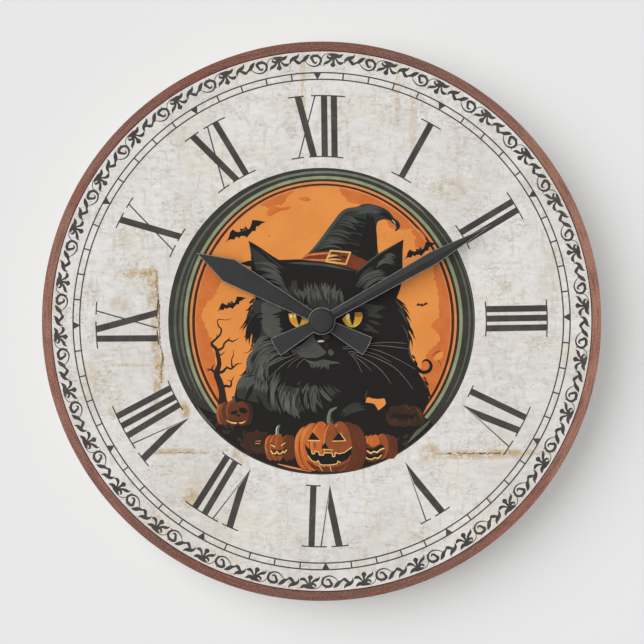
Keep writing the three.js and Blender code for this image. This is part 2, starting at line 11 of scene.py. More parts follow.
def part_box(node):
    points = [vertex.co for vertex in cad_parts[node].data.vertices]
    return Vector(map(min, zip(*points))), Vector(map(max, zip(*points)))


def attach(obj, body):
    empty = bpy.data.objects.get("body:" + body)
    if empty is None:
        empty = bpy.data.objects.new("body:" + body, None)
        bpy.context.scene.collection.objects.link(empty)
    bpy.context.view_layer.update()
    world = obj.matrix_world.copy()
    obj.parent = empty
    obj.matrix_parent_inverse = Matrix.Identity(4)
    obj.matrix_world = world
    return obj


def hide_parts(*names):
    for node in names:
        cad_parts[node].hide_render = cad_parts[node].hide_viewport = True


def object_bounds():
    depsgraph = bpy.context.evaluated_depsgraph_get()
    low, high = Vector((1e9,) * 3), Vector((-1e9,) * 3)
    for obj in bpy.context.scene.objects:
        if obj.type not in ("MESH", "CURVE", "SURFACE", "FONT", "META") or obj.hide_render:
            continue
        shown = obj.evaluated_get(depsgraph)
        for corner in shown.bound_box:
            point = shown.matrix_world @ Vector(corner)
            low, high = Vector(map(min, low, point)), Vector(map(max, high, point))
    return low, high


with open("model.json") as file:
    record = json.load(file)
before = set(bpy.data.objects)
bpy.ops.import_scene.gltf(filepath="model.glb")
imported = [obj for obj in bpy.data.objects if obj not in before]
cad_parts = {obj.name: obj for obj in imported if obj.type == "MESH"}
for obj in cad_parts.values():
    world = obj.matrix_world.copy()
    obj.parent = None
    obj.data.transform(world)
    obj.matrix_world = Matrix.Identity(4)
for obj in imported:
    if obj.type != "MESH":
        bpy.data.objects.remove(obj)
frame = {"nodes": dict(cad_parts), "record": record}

CAD_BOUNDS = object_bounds()
MM = 0.001

# The dial is drawn in millimetres: x to the right and z up from the centre, seen from the front.
# Angles on it are degrees clockwise from twelve.
PANEL_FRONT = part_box("face_panel")[0].y / MM
PRINT_MARGIN = 0.15  # bare rim of the disc round the print
PRINT_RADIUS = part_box("face_panel")[1].x / MM - PRINT_MARGIN
PAPER_THICKNESS = 0.02
COAT = 0.0155  # thickness of one film of ink, and the step from one film to the next
OVERLAP = 0.1  # how far bars run under the serifs and rings that hide their ends
FINEST_LINE = 0.02
CDT_REACH = 1e-4  # corners closer than this are taken as one

DIAL_TURN = -0.97  # the track and the numerals are printed a touch anticlockwise
BORDER_INNER = 132
TRACK_OUTER = 121.5
TRACK_INNER = 117.6
TRACK_OVERLAP = 0.3
LINE = 0.65
WEDGE_TOP = 1.95  # half the width of the wedge that marks every fifth minute
WEDGE_POINT = 0.15
MEDALLION = 74.75
RIM_CENTRE = (0.8, -0.2)  # the rings inside the medallion are tall ellipses round this point

HUB_RADIUS = 6.6
HIGHLIGHT_WIDTH = 0.28  # how wide the painted highlight along the edge of a hand is
EDGE_SHARE = 0.22  # thickness of a hand at its edge, as a share of its depth with the ridge
FUSE_REACH = 0.002  # corners closer than this become one when the pieces of a hand are fused
CAP_BEVEL = 0.0002  # width of the soft edges of the cap, in metres
TURN_PITCH = 0.00016  # from one turn of the coil's wire to the next, in metres

WALL_HALF = 3
WALL_GAP = 0.0004
VIEW_WIDTH = 0.31395  # width of the view at the dial, in metres
VIEW_CENTRE = (0.0002, -0.0004)
LENS = 180
SENSOR = 36
VIEW_REACH = 30  # how far the camera sees, in metres


# ---------------------------------------------------------------- plane shapes, in millimetres


def polar(radius, clock, centre=(0, 0)):
    angle = math.radians(clock)
    return (centre[0] + radius * math.sin(angle), centre[1] + radius * math.cos(angle))


def arc(radius, start, end, count, centre=(0, 0)):
    return [polar(radius, start + (end - start) * i / count, centre) for i in range(count + 1)]


def oval(x, z, half_width, half_height, count=48, tilt=0):
    lean = math.radians(tilt)
    points = []
    for i in range(count):
        angle = 2 * math.pi * i / count
        across = half_width * math.cos(angle)
        up = half_height * math.sin(angle)
        points.append((
            x + across * math.cos(lean) - up * math.sin(lean),
            z + across * math.sin(lean) + up * math.cos(lean),
        ))
    return points


def smooth(points, steps=5, closed=False):
    """A Catmull-Rom curve through the points."""
    count = len(points)
    result = []
    spans = count if closed else count - 1
    for i in range(spans):
        if closed:
            a, b, c, d = (points[(i + k) % count] for k in (-1, 0, 1, 2))
        else:
            b, c = points[i], points[i + 1]
            a = points[i - 1] if i else b
            d = points[i + 2] if i + 2 < count else c
        for step in range(steps):
            t = step / steps
            result.append(tuple(
                0.5 * (2 * q + (r - p) * t + (2 * p - 5 * q + 4 * r - s) * t * t
                       + (3 * q - p - 3 * r + s) * t ** 3)
                for p, q, r, s in zip(a, b, c, d)
            ))
    if not closed:
        result.append(tuple(points[-1]))
    return result


def blob(*points, steps=4):
    """A closed smooth outline through the points."""
    return smooth(points, steps, closed=True)


def sides(*runs):
    """A closed outline of smooth runs with corners between them.

    Each run goes on from where the last one ended, and the last one closes the outline.
    """
    outline = []
    corner = []
    for number, run in enumerate(runs):
        closing = runs[0][:1] if number == len(runs) - 1 else []
        path = [*corner, *run, *closing]
        outline += smooth(path, 4)[:-1]
        corner = path[-1:]
    return outline


def stroke(*marks, steps=5):
    """A brush stroke through (x, z, width) marks, as a row of four-sided cells."""
    line = smooth(marks, steps)
    edges = []
    for i, (x, z, width) in enumerate(line):
        x0, z0, _ = line[max(i - 1, 0)]
        x1, z1, _ = line[min(i + 1, len(line) - 1)]
        length = math.hypot(x1 - x0, z1 - z0) or 1
        half = max(width, FINEST_LINE) / 2
        right, down = half * (z1 - z0) / length, half * (x1 - x0) / length
        edges.append(((x - right, z + down), (x + right, z - down)))
    return [[a, b, d, c] for (a, b), (c, d) in zip(edges, edges[1:])]


def strokes(*rows, steps=5):
    return [cell for row in rows for cell in stroke(*row, steps=steps)]


def lock(x, z, heading, length, width, bend=0):
    """A tapering lock of fur from its root. heading is clockwise from up, and bend turns it on the way."""
    middle = polar(length * 0.5, heading, (x, z))
    end = polar(length * 0.5, heading + bend, middle)
    return stroke((x, z, width * 0.7), (*middle, width), (*end, 0), steps=3)


def fringe(dice, path, count, lean, length, width, bend=0, jitter=12):
    """Locks along a path. Each leans by lean from the path's own direction."""
    line = smooth(path, 8)
    cells = []
    for _ in range(count):
        i = dice.randrange(len(line) - 1)
        (x0, z0), (x1, z1) = line[i][:2], line[i + 1][:2]
        share = dice.random()
        heading = math.degrees(math.atan2(x1 - x0, z1 - z0)) + lean + dice.uniform(-jitter, jitter)
        cells += lock(
            x0 + (x1 - x0) * share,
            z0 + (z1 - z0) * share,
            heading,
            length * dice.uniform(0.6, 1.15),
            width * dice.uniform(0.6, 1.2),
            bend * dice.uniform(0.5, 1.3),
        )
    return cells


def moved(loops, turn=0, shift=(0, 0), size=1):
    """The loops made larger, turned clockwise and shifted, in that order."""
    angle = math.radians(turn)
    c, s = math.cos(angle) * size, math.sin(angle) * size
    return [[(c * x + s * z + shift[0], c * z - s * x + shift[1]) for x, z in loop] for loop in loops]


# ---------------------------------------------------------------- solids from plane shapes


def area(loop):
    """The loop's area, which is positive when it runs anticlockwise."""
    return sum(x0 * z1 - x1 * z0 for (x0, z0), (x1, z1) in zip(loop, loop[1:] + loop[:1])) / 2


def union(loops, cuts=()):
    """Corners and anticlockwise triangles of everything inside the loops and outside the cuts."""
    corners, faces = [], []
    for loop in [*loops, *cuts]:
        ring = [point for point, other in zip(loop, loop[1:] + loop[:1]) if math.dist(point, other) > 0.01]
        ring = ring if area(ring) > 0 else ring[::-1]
        faces.append(list(range(len(corners), len(corners) + len(ring))))
        corners += [Vector(point) for point in ring]
    flat = delaunay_2d_cdt(corners, [], faces, 1, CDT_REACH)
    kept = [list(face) for face, inside in zip(flat[2], flat[5]) if inside and max(inside) < len(loops)]
    return flat[0], kept


def add_prism(mesh, corners, triangles, back, front, material_index):
    """Adds a closed solid between two levels, in millimetres along y, to a bmesh."""
    made = {}

    def vertex(corner, level):
        if (corner, level) not in made:
            x, z = corners[corner]
            made[corner, level] = mesh.verts.new((x * MM, level * MM, z * MM))
        return made[corner, level]

    rim = {}
    for triangle in triangles:
        mesh.faces.new([vertex(c, front) for c in triangle]).material_index = material_index
        mesh.faces.new([vertex(c, back) for c in triangle[::-1]]).material_index = material_index
        for a, b in zip(triangle, triangle[1:] + triangle[:1]):
            if (b, a) in rim:
                del rim[b, a]
            else:
                rim[a, b] = True
    for a, b in rim:
        wall = [vertex(a, front), vertex(a, back), vertex(b, back), vertex(b, front)]
        mesh.faces.new(wall).material_index = material_index


def loose(name, mesh, *materials):
    """An object made of a bmesh, which rides on nothing yet."""
    data = bpy.data.meshes.new(name)
    mesh.to_mesh(data)
    mesh.free()
    for material in materials:
        data.materials.append(material)
    return linked(name, data)


def linked(name, data):
    holder = bpy.data.objects.new(name, data)
    bpy.context.scene.collection.objects.link(holder)
    return holder


def new_object(name, mesh, materials, body):
    piece = loose(name, mesh, *materials)
    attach(piece, body)
    return piece


def printed(name, layer, *coats, cuts=()):
    """A printed piece in one film: coats of (ink, loops), each of which covers the ones before."""
    mesh = bmesh.new()
    inks = []
    back = PANEL_FRONT - PAPER_THICKNESS - COAT * (layer - 1)
    for number, (tone, loops) in enumerate(coats):
        if not loops:
            continue
        shade = INK[tone]
        if shade not in inks:
            inks.append(shade)
        over = [loop for _, later in coats[number + 1:] for loop in later]
        add_prism(mesh, *union(loops, [*over, *cuts]), back, back - COAT, inks.index(shade))
    new_object(name, mesh, inks, "body")


# ---------------------------------------------------------------- materials


def linear(value):
    share = value / 255
    return share / 12.92 if share <= 0.04045 else ((share + 0.055) / 1.055) ** 2.4


def rgb(red, green, blue):
    return (linear(red), linear(green), linear(blue), 1)


class Paint:
    """A material under construction, with short names for the nodes that it uses most."""

    def __init__(self, name, rough=0.5, metal=0.0, specular=0.5):
        self.material = bpy.data.materials.new(name)
        self.material.use_nodes = True
        self.nodes = self.material.node_tree.nodes
        self.links = self.material.node_tree.links
        self.shader = self.nodes["Principled BSDF"]
        self.shader.inputs["Roughness"].default_value = rough
        self.shader.inputs["Metallic"].default_value = metal
        self.shader.inputs["Specular IOR Level"].default_value = specular
        self.place = self.nodes.new("ShaderNodeTexCoord").outputs["Object"]

    def node(self, kind, output, inputs, **settings):
        """Adds a node with its settings and inputs, each a number or another node's output."""
        made = self.nodes.new("ShaderNode" + kind)
        for name, value in settings.items():
            setattr(made, name, value)
        for name, value in inputs.items():
            if isinstance(value, bpy.types.NodeSocket):
                self.links.new(value, made.inputs[name])
            else:
                made.inputs[name].default_value = value
        return made.outputs[output]

    def math(self, operation, a, b=0.0):
        return self.node("Math", 0, {0: a, 1: b}, operation=operation)

    def noise(self, scale, detail=3.0, rough=0.55, place=None, warp=0.0):
        """Noise of so many periods per metre, or so many along each axis."""
        scale = scale if isinstance(scale, tuple) else (scale,) * 3
        spot = self.node("VectorMath", 0, {0: place or self.place, 1: scale}, operation="MULTIPLY")
        inputs = {"Vector": spot, "Scale": 1, "Detail": detail, "Roughness": rough, "Distortion": warp}
        return self.node("TexNoise", "Fac", inputs)

    def between(self, value, low, high, start=0.0, end=1.0):
        """The value mapped from low..high to start..end, and held there."""
        inputs = {"Value": value, "From Min": low, "From Max": high, "To Min": start, "To Max": end}
        return self.node("MapRange", "Result", inputs, interpolation_type="SMOOTHSTEP")

    def mix(self, share, a, b):
        return self.node("Mix", 2, {0: share, 6: a, 7: b}, data_type="RGBA")

    def axis(self, name):
        return self.node("SeparateXYZ", name, {0: self.place})

    def tones(self, value, low, high, tone, other):
        """One tone below low, the other above high."""
        return self.mix(self.between(value, low, high), rgb(*tone), rgb(*other))

    def laid(self, base, *coats):
        """The base with coats over it: (mask, low, high, cover at low, cover at high, tone)."""
        for mask, low, high, start, end, tone in coats:
            base = self.mix(self.between(mask, low, high, start, end), base, rgb(*tone))
        return base

    def finished(self, colour, height, depth, strength, rough=None):
        """Joins colour, relief of so many metres and roughness to the shader."""
        inputs = {"Distance": depth, "Strength": strength, "Height": height}
        self.links.new(colour, self.shader.inputs["Base Color"])
        self.links.new(self.node("Bump", "Normal", inputs), self.shader.inputs["Normal"])
        if rough:
            self.links.new(rough, self.shader.inputs["Roughness"])
        return self.material


def ink(name, tone, faded, fleck=None, flecks=0.2, blotch=170):
    """Printing ink: blotchy between two tones, with fine flecks where it has worn."""
    paint = Paint("ink_" + name, specular=0.15)
    fleck = fleck or tuple(c * 0.8 + 34 for c in tone)
    cloud = paint.noise(blotch, 4, 0.6, warp=0.4)
    fine = paint.noise(1700, 2, 0.6)
    base = paint.laid(paint.tones(cloud, 0.35, 0.68, tone, faded), (fine, 0.3, 0.6, 0.07, 0.0, (0, 0, 0)))
    worn = paint.math(
        "MULTIPLY", paint.between(fine, 0.62, 0.74), paint.between(cloud, 0.4, 0.65, 0.05, flecks),
    )
    rough = paint.between(cloud, 0.3, 0.7, 0.5, 0.64)
    return paint.finished(paint.mix(worn, base, rgb(*fleck)), fine, 0.00001, 0.4, rough)


INK = {
    name: ink(name, *tones)
    for name, tones in {
        "dial": ((64, 60, 58), (78, 73, 70), (150, 146, 140), 0.5, 120),
        "rim": ((52, 51, 45), (62, 60, 54)),
        "stripe": ((82, 88, 76), (94, 100, 88)),
        "stripe_pale": ((106, 112, 98), (122, 126, 112)),
        "green": ((132, 141, 108), (150, 156, 124)),
        "rim_line": ((44, 36, 24), (54, 46, 32)),
        "rim_orange": ((206, 128, 74), (216, 140, 84)),
        "brown": ((66, 28, 12), (78, 36, 18)),
        "sky": ((222, 139, 66), (228, 146, 72), (236, 160, 90), 0.12, 60),
        "sky_dark": ((200, 106, 48), (208, 116, 58)),
        "black": ((25, 22, 21), (30, 27, 26), (44, 41, 39), 0.15),
        "bark": ((38, 30, 27), (48, 38, 33)),
        "fur_dark": ((49, 49, 46), (58, 58, 54)),
        "fur": ((75, 76, 70), (85, 86, 79)),
        "fur_light": ((90, 92, 84), (100, 101, 94)),
        "whisker": ((112, 109, 105), (126, 122, 118)),
        "hat": ((44, 46, 44), (51, 53, 50)),
        "hat_light": ((64, 69, 65), (74, 80, 75)),
        "band": ((108, 50, 28), (124, 60, 36)),
        "band_light": ((204, 104, 56), (218, 122, 70)),
        "gold": ((214, 162, 88), (226, 180, 110)),
        "eye": ((210, 154, 40), (226, 176, 56)),
        "eye_bright": ((224, 188, 74), (232, 200, 96)),
        "eye_pale": ((243, 226, 150), (250, 238, 182)),
        "eye_warm": ((224, 142, 44), (232, 158, 56)),
        "eye_shade": ((158, 112, 58), (172, 126, 70)),
        "glint": ((206, 204, 198), (220, 218, 212)),
        "pumpkin": ((184, 94, 40), (196, 106, 50)),
        "pumpkin_light": ((200, 114, 50), (212, 128, 62)),
        "pumpkin_shade": ((138, 70, 36), (150, 80, 44)),
        "pumpkin_deep": ((92, 48, 28), (104, 56, 34)),
        "pumpkin_dim": ((52, 34, 27), (64, 41, 32)),
        "seam": ((74, 36, 24), (86, 44, 28)),
        "glow": ((232, 184, 104), (242, 206, 132)),
        "ground": ((28, 24, 22), (34, 30, 27)),
        "leaf": ((44, 44, 34), (54, 54, 42)),
        "leaf_warm": ((58, 43, 32), (68, 50, 38)),
        "stem": ((92, 104, 84), (112, 126, 102)),
        "stem_dark": ((42, 56, 44), (54, 68, 54)),
        "crease": ((196, 176, 138), (212, 196, 162)),
        "crease_dark": ((140, 120, 94), (160, 138, 108)),
        "crease_deep": ((106, 86, 66), (128, 106, 82)),
    }.items()
}


def ring_place(paint, along, across):
    """A place that runs round the dial: noise on it is stretched along each circle."""
    x, z = paint.axis("X"), paint.axis("Z")
    squares = paint.math("ADD", paint.math("MULTIPLY", x, x), paint.math("MULTIPLY", z, z))
    radius = paint.math("SQRT", squares)
    round_x, round_z = (paint.math("MULTIPLY", paint.math("DIVIDE", v, radius), along) for v in (x, z))
    return paint.node(
        "CombineXYZ", 0, {0: round_x, 1: round_z, 2: paint.math("MULTIPLY", radius, across)},
    )


def border_ink():
    """Rust brown, streaked along the ring, darker at the top and bottom and redder to the right."""
    paint = Paint("ink_border", specular=0.3)
    streak = paint.noise(1.0, 5, 0.65, place=ring_place(paint, 9, 900))
    patch = paint.noise(28, 3, 0.6)
    fine = paint.noise(1500, 2)
    height = paint.math("ABSOLUTE", paint.axis("Z"))
    tone = paint.laid(
        paint.tones(height, 0.02, 0.128, (150, 104, 88), (112, 72, 61)),
        (paint.axis("X"), 0.02, 0.12, 0.0, 0.45, (168, 120, 100)),
        (patch, 0.38, 0.66, 0.0, 0.5, (132, 72, 58)),
        (streak, 0.36, 0.52, 0.6, 0.0, (84, 54, 48)),
        (streak, 0.56, 0.75, 0.0, 0.45, (184, 132, 112)),
        (fine, 0.4, 0.52, 0.22, 0.0, (82, 56, 50)),
        (fine, 0.5, 0.62, 0.0, 0.18, (204, 168, 150)),
    )
    return paint.finished(tone, streak, 0.00002, 0.6, paint.between(patch, 0.3, 0.7, 0.45, 0.62))


STAIN_BROWN = (180, 148, 96)
STAIN_GREEN = (180, 172, 136)
# Each stain on the paper: x, z, half width, half height, strength, and 0 for brown to 1 for green.
STAINS = (
    (-89, 23.4, 11, 2.6, 1, 0), (-82.4, 16, 3.2, 11, 1, 0), (-80.8, -6, 2.6, 17, 0.8, 0),
    (-79.6, -25, 3.2, 8, 1, 0), (-80, -36, 2.2, 9, 0.7, 0), (-88, 17, 3, 4, 0.4, 0.1),
    (-93, -21.4, 13, 0.9, 0.55, 0), (-98, 8, 7, 4, 0.3, 0.1), (-95, 40, 5, 6, 0.3, 0.5),
    (-102, -44, 2.6, 4, 0.5, 0.1), (-66.6, -43.6, 2.8, 4.4, 0.9, 0), (-70, -63.6, 18, 1.8, 0.7, 0.1),
    (-64, -87, 4.5, 5, 0.8, 0), (-40, -65, 4, 4, 0.7, 0), (-58, -80, 12, 9, 0.25, 0.1),
    (76, -65, 26, 2.6, 0.75, 0), (53, -64, 6, 5, 0.7, 0), (96, -64, 18, 1.6, 0.7, 0.1),
    (-9, 112, 1.7, 20, 0.5, 0.1), (-14, 104, 6, 7, 0.3, 0.2), (37, 108, 1.5, 14, 0.5, 0.1),
    (44.6, 94, 2.2, 16, 0.45, 0.2), (66, 116, 2.4, 12, 0.3, 0.6), (49, 112, 1.3, 9, 0.3, 0.1),
    (62, 65, 12, 6, 0.3, 0.2), (54, 54, 3, 3, 0.5, 0.2), (112, 20, 6, 18, 0.3, 0.2),
    (-112, -30, 5, 12, 0.3, 0.2),
)


def paper():
    """Old whitewashed paper: pale, yellowed in places, streaked both ways, with specks and brown stains."""
    paint = Paint("paper", specular=0.2)
    broad = paint.noise(20, 4, 0.6, warp=0.6)
    yellow = paint.noise(33, 5, 0.66, warp=0.3)
    level = paint.noise((140, 1, 400), 6, 0.62, warp=0.4)
    upright = paint.noise((340, 1, 90), 5, 0.62, warp=0.4)
    grain = paint.noise(520, 4, 0.7)
    tone = paint.laid(
        paint.tones(broad, 0.36, 0.62, (215, 211, 206), (225, 223, 220)),
        (yellow, 0.5, 0.74, 0.0, 0.6, (222, 212, 190)), (level, 0.36, 0.5, 0.5, 0.0, (198, 193, 186)),
        (level, 0.52, 0.66, 0.0, 0.5, (234, 233, 232)), (upright, 0.34, 0.48, 0.6, 0.0, (200, 192, 178)),
        (grain, 0.3, 0.46, 0.3, 0.0, (184, 178, 168)),
        (paint.noise(1250, 2, 0.5), 0.7, 0.78, 0.0, 0.35, (138, 130, 116)),
        (paint.noise((1500, 1, 1250), 4, 0.75), 0.4, 0.53, 0.1, 0.0, (172, 166, 157)),
    )
    worn = paint.between(paint.noise(75, 5, 0.7, warp=0.8), 0.46, 0.64, 0.0, 0.72)
    scratch = paint.between(paint.noise((420, 1, 800), 6, 0.75, warp=0.5), 0.47, 0.6)
    tone = paint.mix(paint.math("MULTIPLY", worn, scratch), tone, rgb(176, 164, 144))
    blot = paint.noise(300, 5, 0.75, warp=0.5)
    x, z = paint.axis("X"), paint.axis("Z")
    for left, up, half_width, half_height, strength, green in STAINS:
        squares = []
        for along, middle, half in ((x, left, half_width), (z, up, half_height)):
            share = paint.math("DIVIDE", paint.math("SUBTRACT", along, middle * MM), half * MM)
            squares.append(paint.math("MULTIPLY", share, share))
        near = paint.between(paint.math("ADD", *squares), 0.0, 1.5, 1.0, 0.0)
        cover = paint.math("MULTIPLY", near, paint.between(blot, 0.4, 0.58, 0.08, strength))
        brown = (a + (b - a) * green for a, b in zip(STAIN_BROWN, STAIN_GREEN))
        tone = paint.mix(cover, tone, rgb(*brown))
    return paint.finished(tone, grain, 0.00004, 0.5, paint.between(broad, 0.3, 0.7, 0.5, 0.64))


# ---------------------------------------------------------------- dial print


def paper_disc():
    mesh = bmesh.new()
    add_prism(mesh, *union([circle(PRINT_RADIUS)]), PANEL_FRONT, PANEL_FRONT - PAPER_THICKNESS, 0)
    new_object("dial_paper", mesh, [paper()], "body")


def crack(dice, width, *points):
    """A broken, wandering line through some points."""
    path = smooth(points, 9)
    cells = []
    for ends in zip(path, path[1:]):
        if dice.random() < 0.72:
            cells += stroke(*(
                (x + dice.gauss(0, 0.22), z + dice.gauss(0, 0.22), width * dice.uniform(0.2, 1.1))
                for x, z in ends
            ), steps=1)
    return cells


def creases():
    dice = random.Random(31)
    soft = crack(
        dice, 1, (-82.4, 25), (-82, 20), (-81.4, 14), (-80.6, 8), (-80.4, 0), (-80.4, -8), (-79.4, -14),
        (-79, -24), (-79.8, -30), (-80.2, -38),
    )
    soft += crack(dice, 1.1, (-97, 23.2), (-91, 24), (-86, 24.6), (-82, 24.8))
    soft += crack(dice, 0.7, (-86.6, 22), (-87, 19), (-85.6, 15.4), (-84, 15))
    soft += crack(dice, 0.35, (-104, -21.6), (-94, -21.2), (-84, -21.6))
    soft += crack(dice, 0.8, (52, -63), (60, -64.4), (72, -64.8), (84, -64), (96, -64.6), (110, -64))
    soft += crack(dice, 0.5, (54, -66), (66, -67), (80, -66.4))
    soft += crack(dice, 0.5, (-86, -64), (-76, -63.4), (-66, -64), (-58, -63.6))
    soft += crack(dice, 0.5, (-9, 130), (-8.6, 122), (-9.4, 112), (-9, 96))
    soft += crack(dice, 0.45, (36, 126), (36.8, 116), (36.4, 104))
    soft += crack(dice, 0.45, (43, 112), (44.6, 100), (45, 88))
    dark = crack(
        dice, 0.8, (-81.2, 24.6), (-80.8, 20), (-80.4, 14), (-79.4, 8), (-79.4, 0), (-79.2, -8),
        (-78.2, -14), (-77.6, -18), (-78, -22), (-78.8, -28),
    )
    dark += strokes(
        ((-79.8, 9.6, 0.2), (-79.2, 7, 1.2), (-79.6, 4.4, 0.2)),
        ((-77.9, -15, 0.2), (-77.3, -18.4, 1.3), (-78.4, -22, 0.2)),
    )
    dark += crack(dice, 0.3, (56, -64.6), (70, -65.2), (84, -64.4), (98, -65))
    deep = crack(dice, 0.75, (60, -64.4), (70, -64.6), (80, -64.2), (92, -64.4))
    deep += crack(dice, 0.5, (66, -64.2), (78, -64.6), (88, -64))
    for _ in range(2):
        deep += crack(
            dice, 0.4, (-80.4, 24.4), (-80, 18), (-79.4, 10), (-79, 0), (-78.8, -10), (-77.6, -16),
            (-77.2, -19), (-77.8, -24), (-78.2, -30),
        )
    deep += crack(dice, 0.3, (-86, -64.2), (-70, -64), (-56, -64.4))
    printed("paper_creases", 1, ("crease", soft), ("crease_dark", dark), ("crease_deep", deep))


def circle(radius, count=360):
    return oval(0, 0, radius, radius, count)


def border():
    INK["border"] = border_ink()
    printed("dial_border", 1, ("border", [circle(PRINT_RADIUS)]), ("brown", [circle(BORDER_INNER)]),
            cuts=[circle(BORDER_INNER - 0.5)])


# One repeat of the leafy scroll, as strokes of (distance along, radius, width). It spans 12 degrees.
VINE_RADIUS = 127.3
VINE_REPEATS = 30
VINE_WEIGHT = 1.2
VINE = (
    ((-0.4, 126.8, 0.35), (0.5, 129, 0.3), (2, 130.2, 0.3), (4.5, 130.6, 0.3), (7, 130.1, 0.5)),
    ((3.2, 130, 0.3), (6.1, 129.7, 1.7), (8.2, 129.3, 1.5), (9.5, 129.9, 1), (10.4, 130.6, 0)),
    ((6.1, 129.5, 0.9), (4.2, 128.2, 0.95), (2.9, 128.9, 0.8), (3.1, 129.9, 0.1)),
    (
        (6.2, 129.8, 1.6), (5.9, 127.8, 0.9), (5.8, 126.3, 1.1), (5.6, 125.2, 2.1), (5.6, 124.5, 1.7),
        (5.6, 123.8, 0),
    ),
    ((5.6, 128.4, 0.5), (3.8, 126.8, 1), (2.2, 126, 1.25), (1.3, 125.4, 0.7), (1, 124.2, 0)),
    ((6.6, 128.6, 0.5), (7.8, 126.7, 0.9), (9, 126, 1.3), (10.1, 126.2, 0.9), (10.9, 126.9, 0)),
    (
        (11.4, 125.8, 0), (11.4, 127.3, 0.8), (12.4, 128.4, 1.4), (14, 129, 1.6), (15.3, 129.8, 0.9),
        (15.9, 131.1, 0),
    ),
    ((13, 128.4, 0.7), (14.4, 127.1, 1.2), (15.5, 126.3, 1.3), (16.6, 126.5, 0.4), (17.4, 127, 0.2)),
    ((16, 126.8, 0.2), (18, 127.5, 1.3), (19.2, 128.7, 1.6), (20.3, 129.6, 1), (21.3, 130.1, 0)),
    (
        (18.4, 127.2, 0.2), (20.1, 125.3, 0.4), (22.4, 124.3, 0.55), (24.5, 124.6, 0.65),
        (25.9, 125.8, 0.9), (26.3, 127.4, 1), (25.6, 128.7, 1), (24.2, 129.4, 1.1), (22.6, 129.3, 1.2),
        (21.3, 128.5, 0.9),
    ),
    ((21.6, 128.7, 1.3), (22.3, 127.2, 1), (22.9, 126.2, 0.9), (23.9, 125.9, 0.7), (24.5, 126.8, 0.2)),
    ((24.3, 129.3, 1), (24.9, 130.6, 0)), ((25.4, 125.5, 0.7), (26.9, 124.6, 0)),
)


def vine():
    rows = [[(along, radius, width * VINE_WEIGHT) for along, radius, width in row] for row in VINE]
    cells = strokes(*rows, steps=4)
    band = []
    for repeat in range(VINE_REPEATS):
        start = repeat * 360 / VINE_REPEATS
        for cell in cells:
            places = ((radius, start + math.degrees(along / VINE_RADIUS)) for along, radius in cell)
            band.append([polar(*place) for place in places])
    printed("dial_scrollwork", 2, ("dial", band))


def minute_track():
    lines = []
    for minute in range(60):
        fifth = minute % 5 == 0
        foot, top = TRACK_INNER + LINE - TRACK_OVERLAP, TRACK_OUTER - TRACK_OVERLAP
        low, high = (WEDGE_POINT, WEDGE_TOP) if fifth else (LINE / 2, LINE / 2)
        mark = [(-low, foot), (low, foot), (high, top), (-high, top)]
        lines += moved([mark], minute * 6 + DIAL_TURN)
    for name, inner in (("track_outer_circle", TRACK_OUTER - LINE), ("track_inner_circle", TRACK_INNER)):
        printed(name, 2, ("dial", [circle(inner + LINE)]), cuts=[circle(inner)])
    printed("track_minutes", 3, ("dial", lines))


# Roman numerals. Each glyph is drawn upright on the radius through its hour, x clockwise: stem (top left,
# foot left), vee (top left, point, thin top) or cross (top left, foot left, thin top, thin foot).
NUMERAL_TOP = 110.3
NUMERAL_FOOT = 80
STEM = 3.05
VEE_STEM = STEM + 0.3
CROSS_STEM = STEM + 0.2
THIN = 0.65
SERIF = 0.6
VEE_MEET = 91  # where the inside of the vee's stem leaves its thin stroke
NUMERALS = {
    1: ([("stem", -1.6, -1.6)], [(-5.5, 5.3)], [(-5.5, 5.3)]),
    2: ([("stem", -3.7, -3.7), ("stem", 1.1, 1.1)], [(-7.4, 7.8)], [(-6.6, 7)]),
    3: ([("stem", -6, -6), ("stem", -1.35, -1.35), ("stem", 3.35, 3.35)], [(-8.8, 9.5)], [(-8.2, 8.8)]),
    4: ([("stem", -8.7, -6.9), ("vee", -1.8, 2.3, 9.5)], [(-13, 3.2), (5.6, 14)], [(-8.5, -2.3)]),
    5: ([("vee", -4.2, 0.3, 6.8)], [(-7, 1.5), (3.9, 9.3)], []),
    6: ([("vee", -8.5, -2.7, 2.5), ("stem", 5.3, 3.8)], [(-11.3, -3), (-0.7, 11.6)], [(1.8, 9)]),
    7: (
        [("vee", -11.2, -4.8, 0), ("stem", 2.8, 1.9), ("stem", 8.4, 6.6)], [(-13.9, -5.5), (-3.2, 15.5)],
        [(-0.1, 11.3)],
    ),
    8: (
        [("vee", -14.5, -7.3, -3.4), ("stem", -0.7, -0.7), ("stem", 4.8, 3.6), ("stem", 10, 8.4)],
        [(-17.2, -9), (-6.5, 17)], [(-2.2, 13.6)],
    ),
    9: (
        [("stem", -8.2, -8.5), ("cross", -3.8, 3.8, 7.3, -2.3)], [(-11.5, 1.6), (5, 11.3)],
        [(-10.2, -3), (2.5, 12)],
    ),
    10: ([("cross", -6, 1, 4.7, -5.3)], [(-8.8, -0.7), (2.2, 8.1)], [(-8.6, -2.1), (0.1, 7.1)]),
    11: (
        [("cross", -9.2, -1.6, 1.5, -7.7), ("stem", 3.8, 3.8)], [(-12.1, -3.9), (-1.1, 10.8)],
        [(-11, -4.4), (-2.3, 10.3)],
    ),
    12: (
        [("cross", -11.4, -4, -1, -10.1), ("stem", 1.5, 1.4), ("stem", 6.3, 6.2)],
        [(-14.6, -6.8), (-3.3, 13.3)], [(-13.3, -7.3), (-4.7, 12)],
    ),
}


def on_circle(x, radius):
    return (x, math.sqrt(radius * radius - x * x))


def on_head_or_foot(*places):
    """Corners from (x, at the head or not) pairs, on the numerals' head circle or foot circle."""
    return [on_circle(x, NUMERAL_TOP - OVERLAP if head else NUMERAL_FOOT + OVERLAP) for x, head in places]


